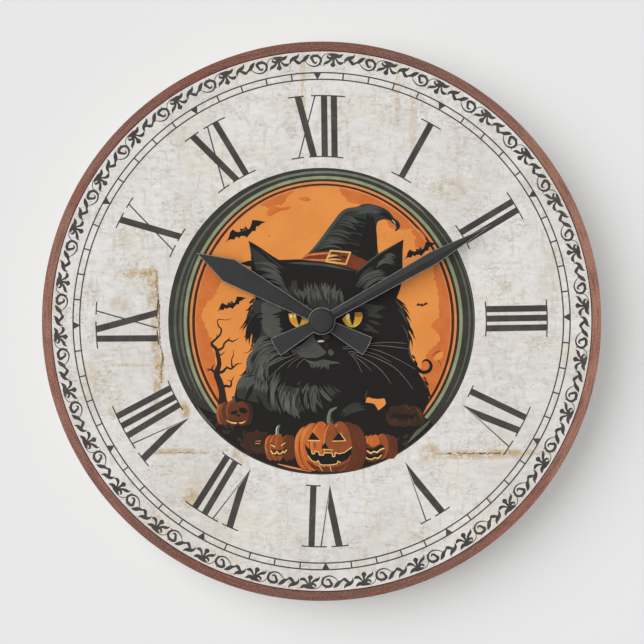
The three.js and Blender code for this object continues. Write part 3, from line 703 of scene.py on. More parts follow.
def bar(top, foot, width):
    """A stroke from the head circle to the foot circle of the numerals."""
    return on_head_or_foot((foot, False), (foot + width, False), (top + width, True), (top, True))


def numeral(glyphs, heads, feet):
    loops = []
    for kind, *x in glyphs:
        if kind == "stem":
            loops.append(bar(*x, STEM))
        elif kind == "vee":
            top, point, thin = x
            slope = (point - top) / (NUMERAL_TOP - NUMERAL_FOOT)
            inside = (top + VEE_STEM + slope * (NUMERAL_TOP - VEE_MEET), VEE_MEET)
            low, high = on_head_or_foot((point, False), (top + VEE_STEM, True))
            loops += [
                [low, high, *on_head_or_foot((top, True))],
                [low, inside, high],
                on_head_or_foot(
                    (point - OVERLAP, False), (point + OVERLAP, False), (thin, True), (thin - THIN, True),
                ),
            ]
        else:
            loops += [bar(x[0], x[1], CROSS_STEM), bar(x[2] - THIN, x[3], THIN)]
    for radius, serifs in ((NUMERAL_TOP, heads), (NUMERAL_FOOT + SERIF, feet)):
        for start, end in serifs:
            steps = [start + (end - start) * i / 8 for i in range(9)]
            low, high = ([on_circle(x, level) for x in steps] for level in (radius - SERIF, radius))
            loops.append(low + high[::-1])
    return loops


def numerals():
    for hour, (glyphs, heads, feet) in NUMERALS.items():
        loops = moved(numeral(glyphs, heads, feet), hour * 30 + DIAL_TURN)
        printed(f"numeral_{hour}", 2, ("dial", loops))


# ---------------------------------------------------------------- medallion: rim and sky

# Half width and half height of each ring's outer edge, from the outside in.
RINGS = (
    (68, 71, "green"),
    (66.4, 69.5, "rim_line"),
    (65.1, 68.4, "rim_orange"),
    (63.9, 67.3, "brown"),
)
SKY = (62.5, 66.2)


def rim_oval(half_width, half_height):
    return oval(*RIM_CENTRE, half_width, half_height, 200)


def rim_stripe(half_width, half_height, width, start, end):
    """A brush line along the rim that swells and fades."""
    marks = []
    for i in range(49):
        angle = math.radians(start + (end - start) * i / 48)
        x, z = half_width * math.sin(angle), half_height * math.cos(angle)
        marks.append((RIM_CENTRE[0] + x, RIM_CENTRE[1] + z, width * math.sin(math.pi * i / 48) ** 0.4))
    return stroke(*marks, steps=1)


def rim():
    dull = rim_stripe(72.3, 72.5, 1.3, -118, -30) + rim_stripe(69.6, 71.9, 1.2, -122, -62)
    dull += rim_stripe(71.4, 72.6, 1, 34, 124) + rim_stripe(73.3, 73.4, 0.4, 50, 110)
    pale = rim_stripe(72.1, 72.9, 1.2, -44, 44)
    printed("medallion_rim", 1, ("rim", [circle(MEDALLION)]), ("stripe", dull), ("stripe_pale", pale))
    coats = [(tone, [rim_oval(*size)]) for *size, tone in RINGS]
    printed("medallion_rings", 2, *coats, cuts=[rim_oval(*SKY)])


def sky_edge(clock, depth):
    """A point so far in from the edge of the sky."""
    angle = math.radians(clock)
    x, z = (SKY[0] - depth) * math.sin(angle), (SKY[1] - depth) * math.cos(angle)
    return (RIM_CENTRE[0] + x, RIM_CENTRE[1] + z)


def rim_patch(dice, *marks):
    """A ragged patch along the edge of the sky, from (clock, how far in) marks."""
    loop = []
    for (clock, depth), (clock1, depth1) in zip(marks, marks[1:]):
        for i in range(5):
            share = i / 5
            wobble = dice.uniform(-0.8, 0.8) if i else 0
            depth_here = max(depth + (depth1 - depth) * share + wobble, 0.1)
            loop.append(sky_edge(clock + (clock1 - clock) * share, depth_here))
    loop.append(sky_edge(marks[-1][0], 0.1))
    return loop + [sky_edge(loop_clock, 0) for loop_clock in range(int(marks[-1][0]), int(marks[0][0]), -3)]


def sky():
    dice = random.Random(4)
    patches = [
        rim_patch(
            dice, (6, 0), (9, 4), (14, 6.5), (22, 6), (27, 8), (33, 7), (38, 8.5), (43, 5), (47, 0),
        ),
        rim_patch(dice, (48, 0), (50, 4), (53, 6), (56, 3), (59, 0)),
        rim_patch(
            dice, (62, 0), (66, 4), (73, 5), (80, 5.5), (88, 6), (93, 8), (98, 5), (103, 8), (108, 10),
            (112, 11), (117, 8), (122, 7), (128, 0),
        ),
        rim_patch(
            dice, (-127, 0), (-121, 3), (-114, 7), (-107, 7.5), (-100, 8), (-95, 6), (-88, 3), (-82, 5),
            (-76, 9), (-70, 10), (-65, 7), (-62, 0),
        ),
        rim_patch(dice, (-30, 0), (-26, 5), (-20, 5), (-16, 2), (-12, 0)),
        blob(
            (-27, 53), (-25.4, 51.2), (-22.8, 52.2), (-20.4, 53.6), (-16, 54.4), (-15.4, 56),
            (-19.8, 55.3), (-23.6, 56),
        ),
        blob((-11.6, 59.6), (-7, 58.4), (-5.4, 59.4), (-8, 60.6)),
        blob((-26.4, 41.8), (-25.4, 41.2), (-25.2, 42.2)),
        blob((43.6, 44), (45.6, 41.4), (49.6, 39), (50.4, 41.4), (46.8, 45)),
        blob((53.4, -2), (56, -4.6), (58.6, -4.2), (59.6, 0), (57.4, 1.8)),
    ]
    lights = [blob((56.8, -15.6), (59, -14.6), (58.8, -17.6), (55.8, -19.4), (54.8, -18))]
    lines = strokes(
        ((53.6, -17.2, 0.2), (56, -15.2, 0.8), (59, -14.4, 0.3)),
        ((56, -18.6, 0.2), (57.6, -20, 0.6), (58.4, -22.6, 0.2)),
    )
    edge = rim_stripe(SKY[0] - 0.2, SKY[1] - 0.2, 0.7, -125, 125)
    printed(
        "sky", 3, ("sky", [rim_oval(*SKY)]), ("sky_dark", patches), ("sky", lights),
        ("pumpkin_shade", lines), ("rim_orange", edge),
    )


# One bat round its middle, rising to the right.
BAT = (
    (-9.7, -5.2), (-8.1, -2.9), (-7.3, -0.2), (-6.1, 1.4), (-4.9, 0.5), (-3.3, 0), (-2.1, 0.5),
    (-2.7, 1.8), (-1.5, 1.6), (-0.5, 1.8), (0.3, 3), (1, 1.8), (1.7, 1.4), (2.4, 2.2), (3.1, 4),
    (3.5, 5.9), (6.3, 5.8), (10.1, 4.9), (8.1, 4.2), (6.7, 3), (5.5, 2.8), (5.1, 0.6), (3.5, 0.5),
    (2.5, -0.8), (1.7, -1.6), (0.9, -2.8), (0.1, -2), (-1.3, -1.8), (-2.5, -2.2), (-2.8, -3),
    (-3.7, -2.4), (-4.7, -2.4), (-5.1, -3.6), (-7.1, -3.5), (-8.5, -4.1),
)


def bats():
    flock, eyes = [], []
    places = ((-37.3, 43.4, 0, 1), (-44, 7.9, 2, 0.72), (47.9, 33.9, 0, 0.8), (48.9, 7.9, 20, 0.3))
    for x, z, turn, size in places:
        flock += moved([list(BAT)], turn, (x, z), size)
        eyes += moved([oval(-0.9, 0.8, 0.4, 0.3, 8), oval(0.1, 1.3, 0.4, 0.3, 8)], turn, (x, z), size)
    printed("bats", 4, ("black", flock), ("stem", eyes))


def tree():
    printed(
        "bare_tree", 4,
        (
            "bark",
            strokes(
                (
                    (-47.4, -45, 6.9), (-48.2, -39, 4.4), (-48.4, -35, 3.3), (-49.6, -30, 3.3),
                    (-51.2, -25.6, 2.8), (-49.9, -21, 2.2), (-50.6, -16.4, 2), (-51.4, -13.6, 1.7),
                    (-53.6, -11, 1.3), (-51.4, -8.6, 1), (-49.4, -6.4, 0.92), (-48.9, -4, 0.8),
                    (-50.4, -2, 0.63), (-50.4, 0.8, 0.46), (-46.6, 0.6, 0.34), (-43.4, 1.5, 0.11),
                ),
                (
                    (-51.2, -14.4, 1.5), (-48.2, -13, 1), (-47.4, -10.8, 0.92), (-45.4, -9.3, 0.8),
                    (-43.2, -9.8, 0.69), (-40.2, -8.2, 0.11),
                ),
                ((-45.6, -9.4, 0.57), (-45.2, -8.4, 0.46), (-44.4, -8, 0.11)),
                ((-50.8, -16.6, 0.92), (-48.6, -16.2, 0.57), (-46.8, -14.4, 0.11)),
                (
                    (-51, -25.2, 1.7), (-48.2, -24.6, 1.4), (-46.2, -22.7, 1), (-44, -23.2, 0.92),
                    (-41.4, -21, 0.69), (-38.6, -20.6, 0.11),
                ),
                ((-46.6, -23, 0.69), (-46.2, -21.6, 0.11)),
                ((-43.6, -22.4, 0.92), (-43.9, -19, 0.57), (-43, -16.6, 0.46), (-42.8, -13.8, 0.11)),
                ((-51.6, -25.4, 1.7), (-53.6, -23.8, 1), (-56.4, -23.2, 0.11)),
                ((-53.4, -23.8, 0.92), (-53.2, -22.2, 0.57), (-52.2, -21.2, 0.11)),
                ((-54.6, -23.6, 0.57), (-56.2, -24.8, 0.11)),
                (
                    (-49.2, -33.6, 2.1), (-47, -31.6, 1.4), (-44.4, -31.8, 1), (-43.9, -29.3, 0.69),
                    (-42.6, -26.6, 0.11),
                ),
                ((-44.2, -29.2, 0.57), (-46.2, -28.6, 0.11)), ((-51.2, -8.4, 0.57), (-51, -6.2, 0.11)),
            ),
        ),
    )


def ground():
    """The dark ground under the cat, down to the edge of the medallion, with rough leaves."""
    dice = random.Random(11)
    ridge = smooth(
        [
            (-80, -38), (-62, -41), (-56, -43.4), (-50.6, -45), (-46, -41), (-34, -41), (-20, -47),
            (20, -47), (34, -46), (40, -40), (48.6, -45.6), (52.6, -48.6), (60, -54), (80, -58),
        ],
        5,
    )
    leaves, warm = [], []
    for side in (1, -1):
        for _ in range(120):
            x, z = polar(dice.uniform(56, 72), side * dice.uniform(126, 166))
            (leaves if dice.random() < 0.65 else warm).extend(
                lock(x, z, dice.uniform(-180, 180), dice.uniform(1.8, 4.2), dice.uniform(0.8, 1.8), 30))
    edge = strokes(
        ((-21.4, -69.6, 0.4), (-16, -71, 0.9), (-10, -72.3, 0.8), (-5, -73.3, 0.2)),
    )
    sweep = strokes(((42, -59.4, 0.2), (46.4, -54.6, 1.8), (50.6, -50.8, 1.4), (54.4, -46.6, 0.3)),
                    ((-60.6, -41.6, 0.3), (-57.4, -46.6, 1.3), (-51.6, -52.6, 0.3)))
    above = [ridge + [(80, 80), (-80, 80)]]
    printed("ground", 5, ("ground", [circle(MEDALLION - 0.7)]), ("leaf", leaves), ("leaf_warm", warm),
            ("stripe", sweep), ("rim_orange", edge), cuts=above)


# ---------------------------------------------------------------- the cat


def flow(dice, roots, tips, count, width, bulge=0, rough=0.8, short=0.35):
    """Tapering strands from one curve to another. bulge pushes each one's middle to its left."""
    start, end = smooth(roots, 12), smooth(tips, 12)
    cells = []
    for i in range(count):
        share = min(max((i + dice.uniform(-0.9, 0.9)) / max(count - 1, 1), 0), 1)
        x0, z0 = start[int(share * (len(start) - 1))]
        x1, z1 = end[int(share * (len(end) - 1))]
        x0, z0 = x0 + dice.gauss(0, rough), z0 + dice.gauss(0, rough)
        x1, z1 = x1 + dice.gauss(0, rough), z1 + dice.gauss(0, rough)
        first, last = dice.uniform(0, short), 1 - dice.uniform(0, short)
        marks = []
        third, two_thirds = (2 * first + last) / 3, (first + 2 * last) / 3
        for at, thick in ((first, 0.15), (third, 0.8), (two_thirds, 1), (last, 0)):
            side = bulge * 4 * at * (1 - at)
            marks.append((
                x0 + (x1 - x0) * at - (z1 - z0) * side,
                z0 + (z1 - z0) * at + (x1 - x0) * side,
                thick * width * dice.uniform(0.7, 1.2),
            ))
        cells += stroke(*marks, steps=3)
    return cells


def flows(dice, *rows):
    return [cell for row in rows for cell in flow(dice, *row)]


def cat_silhouette():
    dice = random.Random(21)
    body = blob(
        (-32.2, 12), (-33.6, 7.6), (-34.2, 3), (-34.6, -2), (-33.8, -7), (-33, -11), (-33.8, -15),
        (-35.8, -19), (-36.9, -23), (-38.2, -27.4), (-41, -31), (-42.4, -36), (-43, -42), (-42, -50),
        (-20, -60), (20, -60), (44, -54), (50, -44), (52.2, -38), (51.6, -32), (48.4, -27), (46, -22.4),
        (44.2, -18), (43, -13), (43, -7.5), (41.4, -1), (39.4, 4), (37, 8.6), (35.4, 11.6), (37.6, 15),
        (36.6, 22), (10, 27), (-20, 27), (-32.8, 22), steps=5,
    )
    gap = [sides(
        [(21.4, -39.6), (22.3, -37.1), (24.4, -37.6)], [(27.4, -37.9), (30.6, -37.6)],
        [(31.3, -40.2), (29.4, -42.2), (27.6, -43.5)], [(26.4, -41.4), (25.2, -40.2)],
    )]
    left = fringe(dice, [(-32.4, 12), (-34.4, 6), (-35, 2)], 12, 20, 3.6, 1, 14, 7)
    left += strokes(
        ((-30, 9, 1.8), (-34.2, 4.6, 1.6), (-37.2, -0.6, 0.9), (-40, -3.7, 0)),
        ((-31, 5, 1.6), (-35.4, 0.4, 1.5), (-37.8, -4, 0)),
        ((-32, 2, 1.8), (-35.8, -3, 1.6), (-37.2, -9.8, 0)),
        ((-32, -1, 1.8), (-34.8, -6, 1.4), (-35.4, -12, 0)),
        ((-33, -3, 1.6), (-36.2, -6.2, 0.9), (-38, -8, 0)),
        ((-31, -4, 1.6), (-33.4, -9, 1.2), (-33.8, -13.6, 0)),
        ((-33.4, 1, 1.2), (-36.8, -1.6, 0.7), (-39, -5.6, 0)),
    )
    left += fringe(dice, [(-33.8, -14), (-35.6, -20), (-37, -25)], 8, 7, 3, 0.9, 6, 5)
    left += fringe(dice, [(-37.4, -25.6), (-40.6, -31), (-42, -37)], 6, 6, 3, 1.2, 4, 4)
    right = fringe(dice, [(35.6, 11.4), (38.8, 6), (40.8, 1), (42.8, -8)], 14, -14, 3, 0.9, -14, 7)
    right += strokes(
        ((34, 12, 1.8), (38.4, 9.4, 1.1), (41.6, 7.2, 0)),
        ((36, 8, 2.2), (40.6, 4.4, 1.4), (43.8, -0.6, 0)), ((38, 5, 2), (42, -0.8, 1.4), (43.6, -5.2, 0)),
        ((40, 0, 2.2), (43.4, -4.6, 1.2), (46, -9.4, 0)),
        ((40.6, -4, 2), (43.6, -8.6, 1), (44.4, -13.6, 0)),
        ((37, 9.4, 1.2), (40.8, 6.4, 0.8), (43, 3.2, 0)),
        ((41.4, -1, 1.2), (44.2, -5, 0.7), (44.9, -8.4, 0)),
    )
    right += fringe(dice, [(43.4, -14), (45.6, -20), (50.4, -28.6), (52, -35)], 14, -10, 3.2, 1, -12, 7)
    stray = strokes(
        ((-35, 3, 0.7), (-36.4, -1.4, 0.5), (-40.2, -3.9, 0.1)),
        ((-34, -13.4, 0.6), (-36, -15.2, 0.3), (-38.4, -15.6, 0.1)),
        ((-36.4, -23.6, 0.8), (-38.6, -26, 0.6), (-40.2, -26.6, 0.1)),
    )
    tail = stroke(
        (43, -19.6, 3), (46, -22.8, 2.2), (49.4, -24.9, 1.7), (52.4, -24.1, 1.7), (53.4, -21.6, 1.5),
        (52.2, -19.4, 1.2), (50.2, -19, 0.9), (49, -20.2, 0.2),
    )
    printed("cat_silhouette", 6, ("black", [body, *left, *right, *stray, *tail]), cuts=gap)


def cat_fur():
    """The cat's coat: dull fur, lit fur on the left and in front, dark partings and a few pale strands."""
    dice = random.Random(5)
    soft = [
        blob(
            (-33.2, 9.6), (-27, 10.4), (-21, 8.2), (-17.4, 6), (-20.4, 3), (-19.8, -1), (-18, -4.6),
            (-20, -8), (-23.4, -10), (-21, -14), (-24.6, -17.6), (-27.4, -22.6), (-27.6, -28.6),
            (-24.6, -33.4), (-22.4, -40), (-24.6, -44), (-30, -40), (-37.6, -38.4), (-41.2, -36.6),
            (-40.6, -32), (-37.4, -27.6), (-36.2, -23), (-34.8, -18), (-33.2, -14), (-31, -10),
            (-29.6, -5), (-29.8, -1), (-32.9, 4.4),
        ),
        blob(
            (-22, -33), (-14, -31.6), (-8, -33), (-3, -31), (-1, -36), (-4, -41.6), (-9, -43),
            (-13, -46.4), (-18, -43),
        ),
        blob((-13, 5), (-9, 12), (-5, 15), (1, 16), (6, 14.4), (11, 11), (10, 6), (0, 4.4)),
    ]
    soft += strokes(
        ((-31, 9.4, 1.4), (-34.4, 4.8, 1.1), (-37, 0, 0.3)),
        ((-30, 6, 1.2), (-33.8, 2.4, 0.9), (-36.4, -3, 0.1)),
        ((-34, -2, 0.3), (-35.6, -5.4, 0.7), (-36.8, -9, 0.1)),
        ((-32.6, -8, 0.3), (-33.8, -11, 0.6), (-34.8, -14, 0.1)),
    )
    soft += flows(
        dice, ([(16, 6.6), (20, 3.4), (19, -3)], [(31, 7), (31, 1), (27, -6)], 16, 1.5, 0.06),
        ([(8, -45), (11, -47)], [(22.6, -39.6), (24, -43.4)], 5, 2, 0.12, 0.4, 0.2),
        ([(0, -30.6), (4, -31)], [(6.4, -37), (10, -36)], 5, 1.1, -0.06, 0.5, 0.2),
        ([(-9, 10), (-16, 14)], [(-12.4, 21.4), (-24, 21)], 13, 1.2, 0.1),
        ([(-7, 13), (8, 13)], [(-8, 20.4), (8, 18.4)], 13, 0.8, 0.02, 0.9, 0.25),
    )
    lit = [
        blob(
            (-29.2, 8.6), (-25, 9.4), (-20.6, 7.4), (-19.6, 4.4), (-20.6, 0), (-19.4, -4.4), (-21, -7.6),
            (-26, -7.4), (-28.8, -3), (-29, 3),
        ),
        blob(
            (-15, -14.2), (-10, -11.6), (-5.4, -7.6), (-3.8, -6), (-2.8, -9.4), (0.4, -13.2),
            (2.2, -15.2), (-1, -17.5), (-6.4, -17.9), (-12, -17),
        ),
        blob(
            (-7.6, -19.2), (-3.2, -19.6), (0.6, -18.7), (4, -19.2), (9, -20.4), (4.6, -20.9),
            (1.6, -22.2), (-1, -22.2), (-5, -21),
        ),
        blob((3.2, -14.6), (4.2, -13.5), (6, -15.4), (4.8, -16.8), (3.4, -16)),
    ]
    lit += flows(
        dice, ([(-6, -20), (3, -20)], [(-5, -23), (2.6, -24)], 9, 0.9, 0.05, 0.4, 0.2),
        (
            [(-21, -8), (-17, -14), (-15, -17)], [(-33.6, -13), (-33, -21), (-29.4, -27)], 20, 1.1, -0.14,
            0.7,
        ),
        ([(-29, -7), (-27, -9)], [(-33.8, -13), (-34.8, -20)], 7, 1, -0.08, 0.6),
        ([(-32, -13), (-28, -19)], [(-36.4, -25), (-29.4, -33)], 18, 1.3, -0.1, 0.8),
        ([(-36.6, -25), (-31, -25)], [(-41.6, -35), (-33, -35)], 12, 1.8, -0.06, 0.8),
        ([(-30, -28), (-26, -29)], [(-31, -34.6), (-27.4, -37)], 6, 1.5, -0.06, 0.8),
        ([(-21, -25), (-18, -29)], [(-23.6, -43), (-20.2, -46.6)], 7, 1.3, -0.14, 0.6, 0.15),
        ([(-18, -33), (-13, -34)], [(-17, -45.4), (-9.8, -47.6)], 9, 2.6, -0.12, 0.6, 0.15),
        ([(-10, -28), (-8, -30)], [(-14, -40), (-12, -42)], 4, 0.8, -0.14, 0.4, 0.2),
        ([(-5.4, -30), (-3.6, -31)], [(-9.6, -44), (-2.2, -45.4)], 9, 1.7, -0.12, 0.5, 0.15),
        ([(-4.4, -31), (-1, -31.6)], [(0, -43.6), (6.6, -39.6)], 6, 1.1, -0.06, 0.5, 0.2),
        ([(-8.6, 8.4), (0, 9), (9.4, 8.6)], [(-13, 15.6), (-2, 19.4), (12, 16)], 34, 1.3, 0.03, 1, 0.3),
    )
    soft += flow(dice, [(-9, 9.6), (-12, 11)], [(-12.4, 18), (-19, 17)], 8, 0.7, 0.08, 0.7, 0.3)
    dark = strokes(
        ((-16, 4.6, 1), (-19, 4, 1.5), (-22, 3.4, 1.1), (-24.4, 3.3, 0)),
        ((-16.4, 3, 1.8), (-19.4, 2.4, 1.6), (-23, 1.7, 0)),
        ((-15.4, 0.2, 2.2), (-18, -0.4, 2.2), (-21, -0.8, 0)),
        ((-15, -2.6, 2.2), (-17.6, -2.8, 2.4), (-21.6, -2.2, 0)),
        ((-13.4, -4.4, 1.6), (-17, -4.8, 1.6), (-20.8, -4.8, 0)),
        ((-28, 3.5, 0.3), (-30.4, 3.7, 0.9), (-33, 1.6, 1.4), (-35.6, -2, 0)),
        ((-28.4, 1.3, 0.3), (-31.2, 0.4, 2.4), (-34, -3.4, 3.2), (-36, -8, 0.8), (-37, -10.6, 0)),
        ((-29.2, -1.4, 0.4), (-31.8, -4.4, 2.2), (-34, -8.6, 0)),
        ((-30, -6, 0.4), (-31.4, -7.6, 1), (-33.6, -11.4, 0)),
        ((-22.6, -8.4, 1.4), (-25.6, -8.8, 1.3), (-29.6, -10.2, 0)),
        ((-21.4, -11.2, 1.4), (-25.2, -11.8, 1), (-29, -13.6, 0)),
        ((-20, -13.8, 1.6), (-24, -14.6, 1.2), (-29, -17.2, 0)),
        ((-18, -16.2, 1.4), (-22, -17.4, 1.2), (-26.6, -20.6, 0)),
        ((-17, -18.4, 1.6), (-22, -20.4, 2), (-25.6, -25, 0)),
        ((-33, -30.6, 0.4), (-34.6, -33.4, 2), (-36.2, -37, 1.6), (-37.6, -39.4, 0)),
        ((-31.6, -36, 0.4), (-30, -39, 1.6), (-27.4, -43, 0)),
        ((-32.4, -26.2, 0.3), (-35, -26.8, 0.6), (-38, -27.2, 0)),
        ((-28.6, -23, 0.3), (-28.6, -28, 0.9), (-30.4, -33.4, 0)),
        ((-26.6, -20.4, 0.3), (-25.4, -26, 1.2), (-25.6, -31, 0)),
        ((-21.6, -33, 0.3), (-21.4, -38, 1.4), (-20, -42, 1.1), (-18.4, -46, 0.3)),
        ((-10.6, -32, 0.3), (-9.8, -37, 1.7), (-9, -41, 1.2), (-7.6, -45, 0.2)),
        ((-6.8, -34, 0.2), (-6.6, -38, 0.9), (-5, -43, 0)),
        ((-2.2, -34.4, 0.2), (-1.8, -37.6, 1), (0.4, -42, 0)),
        ((-15.6, -31, 0.3), (-12.6, -31.8, 1.8), (-9.6, -31, 0.3)),
        ((-25.4, -31, 0.3), (-25.8, -36, 1.6), (-25.4, -42, 0)),
        ((-7.6, 8, 1.2), (-8, 10.2, 1.6), (-7.2, 13.2, 0)),
        ((11.4, 9.4, 1.2), (11.4, 11.6, 1.6), (10.8, 15, 0)),
        ((-10, 5.4, 1.4), (-5.6, 4.6, 1.6), (0, 5, 1.8), (6, 4.6, 1.6), (10, 6, 1)),
    )
    dark += flows(
        dice, ([(-16, -12.6), (-15, -17.6)], [(-10.4, -12), (-9.6, -17)], 9, 0.35, 0.02, 0.4, 0.2),
        ([(-9, 7), (0, 7), (9, 7)], [(-11, 15), (-1, 18), (10, 15)], 11, 0.5, 0.03, 0.7, 0.3),
        (
            [(-21, -29), (-10, -31), (-3, -31)], [(-22.4, -45), (-14, -46), (-3, -45)], 16, 0.55, -0.12,
            0.7, 0.25,
        ),
        ([(-31, -13), (-28, -20)], [(-36, -24), (-30, -32)], 9, 0.4, -0.1, 0.7),
    )
    pale = flows(
        dice, ([(-22, -10.4), (-18, -15)], [(-32.6, -16), (-29, -26)], 5, 0.35, -0.16, 0.4, 0.15),
        ([(-28, -16), (-25, -19)], [(-29.4, -30), (-26, -31)], 6, 0.5, -0.1, 0.5, 0.1),
        ([(-20.6, -25), (-19.4, -27)], [(-24, -41), (-22, -44)], 3, 0.6, -0.14, 0.3, 0.05),
        ([(-17, -34), (-12, -35)], [(-16, -45), (-10.8, -46)], 5, 0.8, -0.1, 0.4, 0.2),
        ([(-3, 9), (6, 9)], [(-3, 16), (5, 16.6)], 6, 0.5, 0.03, 0.8, 0.3),
        ([(-14, -13.4), (-13, -15.6)], [(-5, -12.8), (-4, -15.6)], 4, 0.2, 0.06, 0.2, 0.1),
    )
    blue = strokes(
        ((35.8, 10.6, 0.1), (38.2, 7.4, 0.6), (40.8, 2.6, 0)),
        ((37, 6.6, 0.1), (40.2, 2.2, 0.6), (42.4, -2.6, 0)),
        ((39, -1.6, 0.1), (41.4, -5.6, 0.6), (42.6, -11, 0)),
        ((42.4, -11.4, 0.1), (43, -16, 0.6), (44.4, -19.6, 0)),
        ((47.4, -25.6, 0.1), (50, -29.4, 0.5), (51.4, -34, 0)),
        ((22.6, -33.4, 0.1), (21.6, -36, 0.5), (21.4, -38.6, 0)),
    )
    printed(
        "cat_fur", 7, ("fur_dark", soft), ("fur", lit), ("black", dark), ("fur_light", pale),
        ("hat_light", blue),
    )


def cat_ears():
    dice = random.Random(8)
    ears = [
        sides(
            [(-35.6, 39.2), (-30.4, 36.2), (-25.4, 32.7), (-20.4, 29.6)], [(-16, 22)], [(-16, 14)],
            [(-33, 12)], [(-34.3, 22), (-34.4, 28.6), (-34.6, 33.4)],
        ),
        sides(
            [(39.9, 39.8), (33.6, 36.3), (27.4, 32.7), (21, 28), (16.2, 23.2)], [(16, 14)], [(36.4, 11)],
            [(38.6, 17), (39.4, 25), (39.4, 33)],
        ),
    ]
    inner = [sides(
        [(-34.2, 36), (-30.4, 33.4), (-25, 28.8), (-19.6, 23.6)], [(-24, 23)], [(-32, 25.6)],
        [(-33.4, 31)],
    )]
    inner += flow(dice, [(17, 17), (21, 15)], [(27, 28), (36, 21)], 10, 1.3, 0.12, 0.6)
    fur = flows(
        dice, ([(-33, 28), (-31, 22)], [(-20, 24.6), (-15.4, 15.6)], 13, 0.9, 0.12, 0.6, 0.2),
        ([(-30, 21), (-24, 17)], [(-17, 17), (-14, 11)], 6, 0.9, 0.12, 0.6, 0.2),
        ([(16.4, 16.6), (20, 14.6)], [(31.4, 24.6), (33.6, 20)], 12, 0.8, 0.14, 0.6, 0.1),
        ([(26, 25), (30, 31)], [(36.4, 26.6), (36.4, 31)], 7, 0.8, 0.3, 0.4, 0.1),
    )
    rims = strokes(
        ((-35.3, 38.6, 0.1), (-34.3, 33, 0.4), (-34.1, 27.4, 0)),
        ((-30, 35.2, 0.1), (-25, 30.8, 0.3), (-20.6, 27.2, 0.35), (-17.2, 25, 0)),
        ((16.6, 23.4, 0.3), (21.6, 27.9, 0.9), (27.6, 32.4, 0.6), (34, 36.1, 0.3), (39.4, 39.2, 0)),
    )
    printed("cat_ears", 10, ("black", ears), ("fur_dark", inner), ("fur", fur), ("hat_light", rims))


